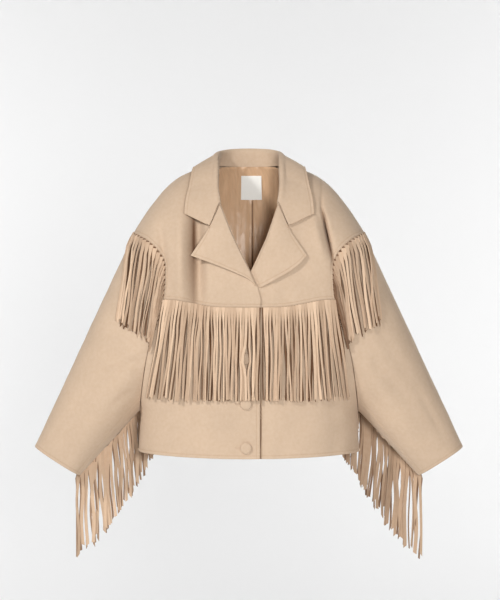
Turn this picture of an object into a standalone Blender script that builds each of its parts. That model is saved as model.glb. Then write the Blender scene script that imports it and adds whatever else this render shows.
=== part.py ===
"""Fringed suede jacket, filled out and held at the shoulders with nobody in it.

Metres, +Z up, front towards -Y. The origin is mid-depth in the neck, at the height of
the back neck seam. The wearer's right is -X. Every cut piece is a closed thin wall.
"""

import math

import bmesh
import bpy
from mathutils import Vector

# Driving dimensions
SUEDE = 0.0016  # wall of one layer of suede
LEAF = 0.0022  # wall of a turned and pressed double layer: collar and lapels
LEAF_MITRE = 0.0003  # how far the under face of a lapel stops short of its border
LINING = 0.0010  # wall of the satin lining and of the label
LINING_ROOM = 0.0036  # air between the back and its lining
SEAM_GAP = 0.0003  # air left between pieces at a seam
LAY_GAP = 0.0004  # air left under a piece that lies on another
CHEST_LEVEL = -0.215  # height where the front stops rounding over the shoulder
BLADE_LEVEL = -0.165  # the same on the back
SIDE_POWER = 2.5  # squareness of the body's level sections
NECK_POINT = 0.0770  # across, inner end of the shoulder seam
SHOULDER_POINT = 0.2420  # across, outer end of the shoulder seam
HEM_SIDE = -0.589  # hem height at the side seam
HEM_DROP = 0.009  # how much lower the hem hangs at the centre
CUFF_CENTRE = (0.4020, -0.6103)  # across and height of the middle of the cuff
CUFF_HALF_WIDTH = 0.0560
CUFF_HALF_DEPTH = 0.0400
CUFF_SLOPE = math.radians(32.8)  # cuff edge below the level, going inwards
RIGHT_EDGE = 0.0225  # front edge of the wearer's right front, which lies on top
LEFT_EDGE = -0.0340  # front edge of the left front, underneath
UNDERLAP = 0.0042  # how far the left front sits back where it is overlapped
BUTTON_RADIUS = 0.0120
BUTTON_DOME = 0.0042
BUTTON_ACROSS = -0.0061
BUTTON_HEIGHTS = (-0.3936, -0.4856, -0.5755)
CHEST_FRINGE_END = -0.4780
FRINGE_WALL = 0.0050  # thickness taken up by hanging strands
FRINGE_STANDOFF = 0.0072  # air that keeps the chest fringe off the buttons
ARM_FRINGE_CLEAR = (0.0024, 0.0038)  # air under the armhole fringe: in front, behind
STAND_TUCK = 0.0006  # how far the stand stops below the roll line
COLLAR_CLEAR = 0.0022  # air between the fall and what it lies over
COLLAR_CROWN = 0.0015  # how far the fall arches off a straight line
GORGE_SHARE = 0.13  # share of the collar that is bent by the gorge at each end
SLEEVE_START = 0.0038  # share of the sleeve's length taken up by the armhole seam
SLEEVE_FULLNESS = 0.010  # how far the sleeve swells off the straight, front and back
SLEEVE_FRINGE_LENGTH = (0.156, 0.178)  # at the armhole, at the cuff
# Seams of the undersleeve, as turns from the underside: at the armhole, at the cuff
FRONT_SEAM = (0.050, 0.075)
FRINGE_SEAM = (-0.118, -0.085)
# Armhole fringe hangs from this stretch of each armhole seam, as turns of the ring
ARM_FRINGE_FRONT = (0.205, 0.492)
ARM_FRINGE_BACK = (0.508, 0.795)
LABEL_ACROSS = (-0.0175, 0.0283)
LABEL_UP = (-0.0570, -0.0053)

# Shoulder ridge: across, height
RIDGE = (
    (0.000, 0.083),
    (0.020, 0.077),
    (0.040, 0.058),
    (0.060, 0.034),
    (0.077, 0.014),
    (0.100, 0.005),
    (0.1365, -0.010),
    (0.162, -0.027),
    (0.1785, -0.043),
    (0.193, -0.060),
    (0.206, -0.077),
    (0.218, -0.094),
    (0.231, -0.114),
    (0.242, -0.1335),
    (0.449, -0.5805),
)
# Half width that the level sections round towards: height, half width
GIRTH = (
    (-0.640, 0.2325),
    (-0.589, 0.2312),
    (-0.540, 0.2285),
    (-0.502, 0.2277),
    (-0.470, 0.2380),
    (-0.430, 0.2550),
    (-0.390, 0.2720),
    (-0.330, 0.2860),
    (-0.215, 0.2900),
)
# Reach of the level sections below the chest: height, front, back
DEPTHS = (
    (-0.640, 0.128, 0.118),
    (-0.589, 0.127, 0.117),
    (-0.480, 0.126, 0.115),
    (-0.340, 0.127, 0.112),
    (-0.215, 0.124, 0.1085),
    (-0.165, 0.124, 0.108),
)
# Front armhole seam, top to underarm: across, height
FRONT_ARMHOLE = (
    (0.2420, -0.1335),
    (0.2270, -0.1400),
    (0.2090, -0.1500),
    (0.1850, -0.1730),
    (0.1745, -0.1970),
    (0.1745, -0.2320),
    (0.1785, -0.2720),
    (0.1930, -0.3300),
    (0.2100, -0.3880),
    (0.2205, -0.4500),
    (0.2275, -0.5020),
)
# Back armhole seam, top to underarm: across, height
BACK_ARMHOLE = (
    (0.2420, -0.1335),
    (0.2270, -0.1400),
    (0.2080, -0.1520),
    (0.1890, -0.1760),
    (0.1800, -0.2100),
    (0.1770, -0.2600),
    (0.1780, -0.3200),
    (0.1830, -0.3800),
    (0.1930, -0.4350),
    (0.2080, -0.4750),
    (0.2275, -0.5020),
)
# Yoke seam under which the chest fringe is sewn, centre outwards: across, height
YOKE_SEAM = (
    (-0.0340, -0.2885),
    (0.0225, -0.2885),
    (0.0740, -0.2870),
    (0.1200, -0.2790),
    (0.1500, -0.2735),
    (0.1785, -0.2720),
)
# Roll line of the fronts, lapel break up to the gorge: across, height
ROLL_RIGHT = ((0.0175, -0.2465), (0.0030, -0.2138), (-0.0320, -0.1415), (-0.0590, -0.0743))
ROLL_LEFT = ((-0.0135, -0.2465), (0.0045, -0.2130), (0.0345, -0.1480), (0.0600, -0.0743))
# Neck seam from the gorge to the shoulder, for either side: across, height
NECK_FRONT = ((0.0590, -0.0743), (0.0690, -0.0350), (0.0770, 0.0140))
NECK_BACK = ((0.0770, 0.0140), (0.0600, 0.0105), (0.0400, 0.0100), (0.0000, 0.0100))
NOTCH = (0.0800, -0.1225)
LAPEL_TIP = (0.1195, -0.1820)
# Lower edge of each lapel, centre to tip: across, height
LAPEL_HEM_RIGHT = (
    (0.0205, -0.2660),
    (0.0140, -0.2575),
    (-0.0082, -0.2400),
    (-0.0594, -0.2118),
    (-0.1180, -0.1820),
)
LAPEL_HEM_LEFT = (
    (0.0190, -0.2500),
    (0.0532, -0.2320),
    (0.0839, -0.2145),
    (0.1044, -0.1990),
    (0.1200, -0.1820),
)
# Collar stations from the front end to the centre back.
# roll across, depth, height; outer edge across, depth, height; seam across, depth, height
COLLAR = (
    (0.0600, -0.1000, -0.0743, 0.1330, -0.0930, -0.1030, 0.0600, -0.0960, -0.0760),
    (0.0655, -0.0850, -0.0400, 0.1300, -0.0830, -0.0700, 0.0690, -0.0770, -0.0420),
    (0.0668, -0.0560, -0.0020, 0.1225, -0.0660, -0.0300, 0.0735, -0.0460, -0.0130),
    (0.0672, -0.0200, 0.0260, 0.1160, -0.0320, 0.0010, 0.0750, -0.0120, 0.0040),
    (0.0655, 0.0150, 0.0350, 0.1100, 0.0160, 0.0030, 0.0725, 0.0180, 0.0115),
    (0.0590, 0.0400, 0.0395, 0.1000, 0.0560, -0.0080, 0.0640, 0.0420, 0.0118),
    (0.0420, 0.0600, 0.0438, 0.0730, 0.0830, -0.0220, 0.0440, 0.0610, 0.0110),
    (0.0200, 0.0680, 0.0455, 0.0370, 0.0950, -0.0290, 0.0200, 0.0695, 0.0110),
    (0.0000, 0.0700, 0.0458, 0.0000, 0.0980, -0.0300, 0.0000, 0.0720, 0.0110),
)
# Tips of the armhole fringe, shoulder to body: across, height
ARM_TIPS = ((0.2720, -0.3110), (0.2570, -0.3290), (0.2330, -0.3450), (0.2130, -0.3560))
# Lining below the neck seam, neck outwards to the shoulder: across, height
LINING_TOP = (
    (0.0400, 0.0070),
    (0.0600, 0.0060),
    (0.0780, 0.0020),
    (0.1150, -0.0100),
    (0.1500, -0.0400),
)
# Side of the lining, hem to shoulder: across, height
LINING_SIDE = ((0.2150, -0.5590), (0.1700, -0.4000), (0.1650, -0.2000), (0.1500, -0.0400))
# Soft folds of the fronts: from across, height; to across, height; half width, depth
FOLDS_RIGHT = (
    (-0.1230, -0.030, -0.1200, -0.285, 0.020, 0.0075),
    (-0.1750, -0.060, -0.1650, -0.260, 0.018, 0.0030),
)
FOLDS_LEFT = (
    (0.1480, -0.095, 0.1760, -0.196, 0.013, 0.0085),
    (0.1150, -0.060, 0.1080, -0.280, 0.020, 0.0025),
)
# Soft folds of the back, both sides alike but uneven
FOLDS_BACK = (
    (-0.1500, -0.060, -0.1350, -0.420, 0.024, 0.0060),
    (0.1420, -0.080, 0.1500, -0.380, 0.022, 0.0050),
    (-0.0500, -0.180, -0.0650, -0.560, 0.030, 0.0030),
    (0.0600, -0.150, 0.0450, -0.500, 0.030, 0.0035),
)


def clear_scene():
    """Removes whatever the file holds."""
    for old in list(bpy.data.objects):
        bpy.data.objects.remove(old)


def finish(name, colour, roughness):
    """A plain surface finish for one kind of piece."""
    made = bpy.data.materials.get(name) or bpy.data.materials.new(name)
    made.use_nodes = True
    shader = made.node_tree.nodes["Principled BSDF"]
    shader.inputs["Base Color"].default_value = (*colour, 1.0)
    shader.inputs["Roughness"].default_value = roughness
    return made


def curve(points, by_station=False):
    """A smooth curve through points: a function of 0 to 1, even along the chord length.

    by_station spaces it by the number of the point instead.
    """
    points = [Vector(p) for p in points]
    at = [0.0]
    for a, b in zip(points, points[1:]):
        at.append(at[-1] + (1.0 if by_station else (b - a).length))
    at = [value / at[-1] for value in at]
    slopes = []
    for i in range(len(points)):
        lo = max(i - 1, 0)
        hi = min(i + 1, len(points) - 1)
        slopes.append((points[hi] - points[lo]) / (at[hi] - at[lo]))

    def along(t):
        t = min(max(t, 0.0), 1.0)
        i = max(k for k in range(len(at) - 1) if at[k] <= t)
        span = at[i + 1] - at[i]
        f = (t - at[i]) / span
        rise = points[i] * (2 * f**3 - 3 * f**2 + 1) + points[i + 1] * (3 * f**2 - 2 * f**3)
        lean = slopes[i] * (f**3 - 2 * f**2 + f) + slopes[i + 1] * (f**3 - f**2)
        return rise + lean * span

    return along


def corners(points):
    """Straight lines through points: a function of 0 to 1, even along the length."""
    points = [Vector(p) for p in points]
    at = [0.0]
    for a, b in zip(points, points[1:]):
        at.append(at[-1] + (b - a).length)

    def along(t):
        s = min(max(t, 0.0), 1.0) * at[-1]
        i = min(max(k for k in range(len(at)) if at[k] <= s), len(points) - 2)
        return points[i].lerp(points[i + 1], (s - at[i]) / (at[i + 1] - at[i]))

    return along


def stretch(path, start, end):
    """The part of a path from start to end, as a path of its own."""
    return lambda t: path(start + (end - start) * t)


def mirrored(points, side):
    """Points of a table with their first column on one side."""
    return [(p[0] * side, *p[1:]) for p in points]


def look_up(rows, key, column):
    """A smooth value from rows sorted by their first column."""
    key = min(max(key, rows[0][0]), rows[-1][0])
    i = max(k for k in range(len(rows) - 1) if rows[k][0] <= key)

    def slope(k):
        lo = max(k - 1, 0)
        hi = min(k + 1, len(rows) - 1)
        return (rows[hi][column] - rows[lo][column]) / (rows[hi][0] - rows[lo][0])

    span = rows[i + 1][0] - rows[i][0]
    f = (key - rows[i][0]) / span
    value = rows[i][column] * (2 * f**3 - 3 * f**2 + 1)
    value += rows[i + 1][column] * (3 * f**2 - 2 * f**3)
    value += slope(i) * span * (f**3 - 2 * f**2 + f)
    return value + slope(i + 1) * span * (f**3 - f**2)


def crossing(path, height):
    """Where a falling path passes a height."""
    low, high = 0.0, 1.0
    for _ in range(40):
        middle = (low + high) / 2
        if path(middle).y > height:
            low = middle
        else:
            high = middle
    return (low + high) / 2


def ease(t):
    """0 to 1 with flat ends."""
    t = min(max(t, 0.0), 1.0)
    return t * t * (3 - 2 * t)


def trough(x, z, folds):
    """How far the cloth sinks at a place, from a table of folds."""
    sunk = 0.0
    for x0, z0, x1, z1, half, depth in folds:
        run = min(max((z0 - z) / (z0 - z1), 0.0), 1.0)
        away = (x - x0 - (x1 - x0) * run) / half
        sunk += depth * math.exp(-away * away) * math.sin(math.pi * (0.06 + 0.88 * run))
    return sunk


def depth_at(x, z, column, level):
    """Distance of the body's cloth from the shoulder plane."""
    across = min(abs(x) / look_up(GIRTH, z, 1), 1.0)
    round_side = (1.0 - across**SIDE_POWER) ** (1.0 / SIDE_POWER)
    depth = look_up(DEPTHS, z, column) * round_side
    if z > level:
        top = look_up(RIDGE, abs(x), 1)
        rise = min((z - level) / (top - level), 1.0)
        depth *= math.sqrt(1.0 - rise * rise)
    return depth


def front_place(x, z, side=0):
    """Point on the outer face of a front. side is -1 for the right front, 1 for the left."""
    depth = depth_at(x, z, 1, CHEST_LEVEL)
    fade = min(depth / 0.06, 1.0)
    if side < 0:
        depth -= trough(x, z, FOLDS_RIGHT) * fade
    if side > 0:
        depth -= trough(x, z, FOLDS_LEFT) * fade
        depth -= UNDERLAP * ease((0.052 - x) / 0.026)
    return Vector((x, -depth, z))


def back_place(x, z):
    """Point on the outer face of the back."""
    depth = depth_at(x, z, 2, BLADE_LEVEL)
    depth -= trough(x, z, FOLDS_BACK) * min(depth / 0.06, 1.0)
    return Vector((x, depth, z))


def back_inside(x, z, inward):
    """Point inside the back, a set distance in from its outer face."""
    step = 0.001
    across = back_place(x + step, z) - back_place(x - step, z)
    up = back_place(x, z + step) - back_place(x, z - step)
    return back_place(x, z) + across.cross(up).normalized() * inward


def patch(bottom, top, inner, outer):
    """A place inside four paths. u runs inner to outer and v bottom to top."""

    def place(u, v):
        flat = inner(v).lerp(outer(v), u) + bottom(u).lerp(top(u), v)
        low = bottom(0.0).lerp(bottom(1.0), u)
        high = top(0.0).lerp(top(1.0), u)
        return flat - low.lerp(high, v)

    return place


def normal_at(surface, u, v):
    """Unit normal of a surface."""
    step = 0.002
    along_u = surface(min(u + step, 1), v) - surface(max(u - step, 0), v)
    along_v = surface(u, min(v + step, 1)) - surface(u, max(v - step, 0))
    return along_u.cross(along_v).normalized()


def drawn_in(value, place, distance):
    """A border value moved inwards until its place is a distance off the border."""
    if 1e-6 < value < 1 - 1e-6:
        return value
    inwards = 1 if value < 0.5 else -1
    border = place(value)
    low, high = 0.0, 0.3
    for _ in range(16):
        middle = (low + high) / 2
        if (place(value + inwards * middle) - border).length < distance:
            low = middle
        else:
            high = middle
    return value + inwards * high


def shell(name, surface, columns, rows, wall, material, outward=1, lift=None, mitre=SUEDE):
    """A closed wall: its outer face on the surface, or lifted off it, and its inner face within.

    outward is -1 where u cross v points into the jacket. lift(u, v) raises the wall, and
    mitre is how far the inner face stops short of the border.
    """
    bm = bmesh.new()
    bmesh.ops.create_grid(bm, x_segments=columns, y_segments=rows, size=0.5)
    face_points = {v: (v.co.x + 0.5, v.co.y + 0.5) for v in bm.verts}
    grown = bmesh.ops.extrude_face_region(bm, geom=bm.faces[:], use_keep_orig=True)
    back_points = [v for v in grown["geom"] if isinstance(v, bmesh.types.BMVert)]
    spots = [(v, uv, 0.0, SEAM_GAP / 2) for v, uv in face_points.items()]
    short = SEAM_GAP / 2 + mitre
    spots += [(v, (v.co.x + 0.5, v.co.y + 0.5), wall, short) for v in back_points]
    for vertex, (at_u, at_v), sunk, inset in spots:
        u = drawn_in(at_u, lambda t: surface(t, at_v), inset)
        v = drawn_in(at_v, lambda t: surface(at_u, t), inset)
        raised = lift(u, v) if lift else 0.0
        vertex.co = surface(u, v) + normal_at(surface, u, v) * outward * (raised - sunk)
    bmesh.ops.recalc_face_normals(bm, faces=bm.faces[:])
    if bm.calc_volume(signed=True) < 0:
        bmesh.ops.reverse_faces(bm, faces=bm.faces[:])
    mesh = bpy.data.meshes.new(name)
    bm.to_mesh(mesh)
    bm.free()
    mesh.materials.append(material)
    made = bpy.data.objects.new(name, mesh)
    bpy.context.scene.collection.objects.link(made)
    return made


def settled(t):
    """Spaces rows closer where a piece rounds over its far edge."""
    return math.sin(t * math.pi / 2)


def widened(t):
    """Spaces columns closer towards both sides of a piece."""
    return 0.35 * t + 0.65 * (0.5 - 0.5 * math.cos(t * math.pi))


def hem_height(x):
    """Height of the hem at a place across."""
    return HEM_SIDE - HEM_DROP * (1 - min(abs(x) / 0.23, 1.0) ** 2)


def side_name(side):
    return "right" if side < 0 else "left"


def armhole(side, table):
    return curve(mirrored(table, side))


def yoke_line(side, end_across):
    """Yoke seam of one front, from its front edge to the armhole."""
    across = [p for p in YOKE_SEAM if p[0] > end_across * side + 0.003]
    start = (end_across, YOKE_SEAM[0][1])
    return curve([start] + mirrored(across, side))


def front_edge(side):
    return RIGHT_EDGE if side < 0 else LEFT_EDGE


def on_ridge(x):
    """The shoulder seam at a place across."""
    return Vector((x, look_up(RIDGE, abs(x), 1)))


def shoulder_line(side):
    """Shoulder seam from the neck to the armhole."""
    return lambda t: on_ridge(side * (NECK_POINT + (SHOULDER_POINT - NECK_POINT) * t))


def front_yoke(side, suede):
    """Front above the fringe: front edge, roll line, neck, shoulder, armhole."""
    edge = front_edge(side)
    roll = ROLL_RIGHT if side < 0 else ROLL_LEFT
    below = (edge, YOKE_SEAM[0][1])
    turn = (edge + 0.0015, -0.2715) if side < 0 else (edge + 0.003, -0.2650)
    inner = corners([below, turn] + list(roll) + mirrored(NECK_FRONT[1:], side))
    hole = armhole(side, FRONT_ARMHOLE)
    meet = crossing(hole, YOKE_SEAM[-1][1])
    outer = stretch(hole, meet, 0.0)
    flat = patch(yoke_line(side, edge), shoulder_line(side), inner, outer)

    def surface(u, v):
        spot = flat(u, settled(v))
        return front_place(spot.x, spot.y, side)

    name = "front_yoke_" + side_name(side)
    return shell(name, surface, 11, 11, SUEDE, suede, side)


def panel_flat(side, edge, lower):
    """Places of a front below the yoke seam, down to a lower line given by across."""
    hole = armhole(side, FRONT_ARMHOLE)
    meet = crossing(hole, YOKE_SEAM[-1][1])
    hem_end = GIRTH[1][1] * side
    rows = [hole(meet + (1 - meet) * k / 6) for k in range(7)]
    rows += [Vector((GIRTH[2][1] * side, GIRTH[2][0])), Vector((hem_end, HEM_SIDE))]
    outer = curve([tuple(p) for p in rows])
    inner = corners([(edge, YOKE_SEAM[0][1]), (edge, hem_height(edge))])
    hem = curve([(x, hem_height(x)) for x in (edge + (hem_end - edge) * k / 6 for k in range(7))])
    if lower is not None:
        end = crossing(outer, lower + 0.006)
        outer = stretch(outer, 0.0, end)
        inner = corners([(edge, YOKE_SEAM[0][1]), (edge, lower)])
        far = outer(1.0)
        hem = curve([(edge, lower), ((edge + far.x) / 2, lower), tuple(far)])
    return patch(yoke_line(side, edge), hem, inner, outer)


def front_panel(side, suede):
    """Front below the yoke seam, down to the hem."""
    flat = panel_flat(side, front_edge(side), None)

    def surface(u, v):
        spot = flat(settled(u), v)
        return front_place(spot.x, spot.y, side)

    name = "front_panel_" + side_name(side)
    return shell(name, surface, 11, 7, SUEDE, suede, -side)


def chest_fringe(side, suede):
    """Room of the fringe sewn into the yoke seam, hanging over the front panel."""
    edge = front_edge(side) if side < 0 else RIGHT_EDGE + 0.0060
    flat = panel_flat(side, edge, CHEST_FRINGE_END)

    def surface(u, v):
        spot = flat(u * 0.97, 0.004 + 0.996 * v)
        return front_place(spot.x, spot.y, side)

    def lift(_u, v):
        return FRINGE_WALL + LAY_GAP + FRINGE_STANDOFF * ease(v / 0.22)

    name = "chest_fringe_" + side_name(side)
    return shell(name, surface, 12, 6, FRINGE_WALL, suede, -side, lift)


def lapel(side, suede):
    """Turned-back leaf of a front, from its roll line to its point."""
    if side < 0:
        roll = curve(ROLL_RIGHT)
        hem = curve(LAPEL_HEM_RIGHT)
    else:
        roll = corners([LAPEL_HEM_LEFT[0], *ROLL_LEFT[1:]])
        hem = curve(LAPEL_HEM_LEFT)
    gorge = corners(mirrored([NECK_FRONT[0], NOTCH], side))
    outer = corners(mirrored([LAPEL_TIP, NOTCH], side))
    flat = patch(hem, gorge, roll, outer)

    def surface(u, v):
        spot = flat(u, v)
        return front_place(spot.x, spot.y, side)

    def lift(u, _v):
        crown = 4 * u * (1 - u)
        return LEAF + LAY_GAP + 0.0006 + 0.0030 * crown + 0.0008 * u

    name = "lapel_" + side_name(side)
    return shell(name, surface, 6, 6, LEAF, suede, side, lift, LEAF_MITRE)


def collar_paths():
    """Roll, outer edge and seam of the whole collar, right front end to left front end."""
    whole = [(-r[0], r[1], r[2], -r[3], r[4], r[5], -r[6], r[7], r[8]) for r in COLLAR]
    whole += reversed(COLLAR[:-1])
    roll = curve([r[0:3] for r in whole], True)
    edge = curve([r[3:6] for r in whole], True)
    seam = curve([r[6:9] for r in whole], True)
    return roll, edge, seam


def off_body(point, clear):
    """A point pushed out, away from the middle of the chest, so that it clears the cloth."""
    column, level = (1, CHEST_LEVEL) if point.y < 0 else (2, BLADE_LEVEL)
    depth = depth_at(point.x, level, column, level)
    rise = look_up(RIDGE, abs(point.x), 1) - level
    high = max(point.z - level, 0.0)
    share = math.hypot(point.y / depth, high / rise)
    reach = math.hypot(point.y, high)
    needed = reach / share + clear
    if reach >= needed:
        return point
    grow = needed / reach
    return Vector((point.x, point.y * grow, point.z + high * (grow - 1)))


def collar_fall(suede):
    """Outer leaf of the collar, from its roll line down over the shoulders."""
    roll, edge, _ = collar_paths()

    def gorge_bend(side, v):
        """How far the front end, which follows the gorge, lies off a straight line."""
        end = 0.0 if side < 0 else 1.0
        start, corner = roll(end), edge(end)
        rest = LEAF + LAY_GAP + COLLAR_CLEAR
        depth = depth_at(NOTCH[0], NOTCH[1], 1, CHEST_LEVEL) + rest
        notch = Vector((NOTCH[0] * side, -depth, NOTCH[1] + 0.0012))
        return corners([start, notch, corner])(v) - start.lerp(corner, v)

    def surface(u, v):
        spot = roll(u).lerp(edge(u), v)
        spot += gorge_bend(-1, v) * ease(1 - u / GORGE_SHARE)
        spot += gorge_bend(1, v) * ease(1 - (1 - u) / GORGE_SHARE)
        outward = Vector((spot.x, spot.y, 0.0)).normalized() + Vector((0, 0, 0.7))
        crown = 4 * v * (1 - v) * COLLAR_CROWN
        return off_body(spot + outward.normalized() * crown, LEAF + LAY_GAP + COLLAR_CLEAR)

    return shell("collar_fall", surface, 30, 4, LEAF, suede, -1)


def collar_stand(suede):
    """Inner leaf of the collar, from the neck seam up to under the roll line."""
    roll, _, seam = collar_paths()
    start = 0.16

    def surface(u, v):
        t = start + (1 - 2 * start) * u
        low = seam(t)
        high = roll(t) - Vector((0, 0, STAND_TUCK))
        lean = Vector((low.x, low.y, 0.0)).normalized()
        return low.lerp(high, v) - lean * 0.0010

    return shell("collar_stand", surface, 24, 3, SUEDE, suede, 1)


def back_panel(suede):
    """The whole back, neck to hem and armhole to armhole."""
    right = armhole(-1, BACK_ARMHOLE)
    left = armhole(1, BACK_ARMHOLE)
    steps = [GIRTH[2], GIRTH[1]]

    def down(path, side):
        rows = [path(k / 9) for k in range(10)]
        rows += [Vector((w * side, z)) for z, w in steps]
        return curve([tuple(p) for p in reversed(rows)])

    across = [GIRTH[1][1] * (k / 5 - 1) for k in range(11)]
    hem = curve([(x, hem_height(x)) for x in across])
    neck = curve(mirrored(NECK_BACK, -1) + list(reversed(NECK_BACK))[1:])

    def shoulders(t):
        x = SHOULDER_POINT * (2 * t - 1)
        if abs(x) >= NECK_POINT:
            return on_ridge(x)
        return neck(0.5 + 0.5 * x / NECK_POINT)

    flat = patch(hem, shoulders, down(right, -1), down(left, 1))

    def surface(u, v):
        spot = flat(widened(u), settled(v))
        return back_place(spot.x, spot.y)

    return shell("back_panel", surface, 20, 14, SUEDE, suede, -1)


def back_lining(satin):
    """Satin back lining with its centre pleat, seen through the neck."""
    right = corners(mirrored(LINING_SIDE, -1))
    left = corners(LINING_SIDE)
    top = corners(mirrored(LINING_TOP, -1)[::-1] + list(LINING_TOP))
    flat = patch(corners([right(0.0), left(0.0)]), top, right, left)

    def surface(u, v):
        spot = flat(u, settled(v))
        pleat = math.exp(-(((spot.x - 0.0045) / 0.004) ** 2)) * ease((-0.04 - spot.y) / 0.06)
        return back_inside(spot.x, spot.y, SUEDE + LINING_ROOM + 0.0030 * pleat)

    return shell("back_lining", surface, 18, 10, LINING, satin, -1)


def neck_label(ribbon):
    """Plain label sewn to the lining under the neck seam."""

    def surface(u, v):
        x = LABEL_ACROSS[0] + (LABEL_ACROSS[1] - LABEL_ACROSS[0]) * u
        z = LABEL_UP[0] + (LABEL_UP[1] - LABEL_UP[0]) * v
        return back_inside(x, z, SUEDE + LINING_ROOM + LINING + 0.0012)

    return shell("neck_label", surface, 3, 3, LINING, ribbon, -1)


def arm_ring(side):
    """Armhole seam as one ring: 0 at the underarm, 0.5 at the shoulder, front first."""
    front = armhole(side, FRONT_ARMHOLE)
    back = armhole(side, BACK_ARMHOLE)

    def on_front(t):
        spot = front(1.0 - t)
        return front_place(spot.x, spot.y, side)

    def on_back(t):
        spot = back(t)
        return back_place(spot.x, spot.y)

    stops = [0.5 - 0.5 * math.cos(math.pi * k / 16) for k in range(17)]
    front_run = curve([on_front(t) for t in stops])
    back_run = curve([on_back(t) for t in stops])
    return lambda turn: front_run(turn * 2) if turn <= 0.5 else back_run(turn * 2 - 1)


def cuff_ring(side):
    """Cuff edge as one ring, matched to the armhole ring."""
    across = Vector((math.cos(CUFF_SLOPE), 0, math.sin(CUFF_SLOPE)))

    def place(turn):
        angle = math.pi * (1 + 2 * turn)
        wide = math.cos(angle)
        deep = math.sin(angle)
        bend = (abs(wide) ** 2.3 + abs(deep) ** 2.3) ** (-1 / 2.3)
        point = across * wide * bend * CUFF_HALF_WIDTH
        point.y = deep * bend * CUFF_HALF_DEPTH
        return Vector((side * (CUFF_CENTRE[0] + point.x), point.y, CUFF_CENTRE[1] + point.z))

    return place


def sleeve_place(side):
    """A place on a sleeve: turn round it, and run from the armhole to the cuff."""
    root = arm_ring(side)
    cuff = cuff_ring(side)

    def place(turn, run):
        turn = turn % 1.0
        point = root(turn).lerp(cuff(turn), run)
        fuller = math.sin(math.pi * run) * SLEEVE_FULLNESS * math.sin(2 * math.pi * turn)
        return point - Vector((0, fuller, 0))

    return place


def seam_turn(seam, run):
    return seam[0] + (seam[1] - seam[0]) * run


def sleeve_top(side, suede):
    """Upper sleeve: the front, the outer edge and most of the back."""
    place = sleeve_place(side)

    def surface(u, v):
        run = SLEEVE_START + (1 - SLEEVE_START) * v
        start = seam_turn(FRONT_SEAM, run)
        end = 1 + seam_turn(FRINGE_SEAM, run)
        return place(start + (end - start) * u, run)

    return shell("sleeve_top_" + side_name(side), surface, 20, 5, SUEDE, suede, -side)


def sleeve_under(side, suede):
    """Undersleeve: the narrow strip along the underside."""
    place = sleeve_place(side)

    def surface(u, v):
        run = SLEEVE_START + (1 - SLEEVE_START) * v
        start = seam_turn(FRINGE_SEAM, run)
        end = seam_turn(FRONT_SEAM, run)
        return place(start + (end - start) * u, run)

    return shell("sleeve_under_" + side_name(side), surface, 5, 5, SUEDE, suede, -side)


def sleeve_fringe(side, suede):
    """Room of the fringe that hangs plumb from the back sleeve seam."""
    place = sleeve_place(side)

    def surface(u, v):
        run = 0.02 + 0.975 * u
        seam = place(seam_turn(FRINGE_SEAM, run), run)
        short, full = SLEEVE_FRINGE_LENGTH
        length = short + (full - short) * ease(run)
        drop = Vector((0, 0.0006 + 0.004 * v, -0.0006 - length * v))
        return seam + drop

    def lift(_u, _v):
        return FRINGE_WALL

    name = "sleeve_fringe_" + side_name(side)
    return shell(name, surface, 10, 5, FRINGE_WALL, suede, side, lift, 0.0002)


def turn_at(place, x, z, front):
    """Turn and run of the sleeve's face that lies at a place across and high."""
    turn, run = (0.3, 0.2) if front else (0.7, 0.2)
    for _ in range(30):
        here = place(turn, run)
        by_turn = (place(turn + 0.002, run) - here) / 0.002
        by_run = (place(turn, run + 0.002) - here) / 0.002
        area = by_turn.x * by_run.z - by_run.x * by_turn.z
        dx, dz = x - here.x, z - here.z
        step_turn = (dx * by_run.z - dz * by_run.x) / area
        step_run = (dz * by_turn.x - dx * by_turn.z) / area
        limit = 0.05
        turn += min(max(step_turn, -limit), limit)
        run += min(max(step_run, -limit), limit)
        low, high = (0.02, 0.497) if front else (0.503, 0.98)
        turn = min(max(turn, low), high)
        run = min(max(run, -0.2), 1.1)
    return turn, run


def arm_fringe(side, suede, front):
    """Room of the fringe round one half of the armhole, hanging over the sleeve."""
    place = sleeve_place(side)
    ring = arm_ring(side)
    tips = curve(mirrored(ARM_TIPS, side))
    start, end = ARM_FRINGE_FRONT if front else ARM_FRINGE_BACK
    clear = ARM_FRINGE_CLEAR[0 if front else 1]

    def surface(u, v):
        turn = start + (end - start) * u
        top = ring(turn)
        share = u if front else 1 - u
        tip = tips(1 - share)
        x = top.x + (tip.x - top.x) * v
        z = top.z + (tip.y - top.z) * v
        x += side * 0.0016 * (1 - v)
        if v < 0.02:
            found = (turn, 0.004)
        else:
            found = turn_at(place, x, z, front)
        turn, run = found[0], max(found[1], 0.004)
        here = place(turn, run)
        round_it = place(turn + 0.004, run) - place(turn - 0.004, run)
        along_it = place(turn, run + 0.01) - place(turn, run)
        return here - round_it.cross(along_it).normalized() * side * clear

    def lift(_u, _v):
        return FRINGE_WALL + LAY_GAP

    name = ("arm_fringe_front_" if front else "arm_fringe_back_") + side_name(side)
    return shell(name, surface, 10, 6, FRINGE_WALL, suede, -side, lift)


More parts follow.
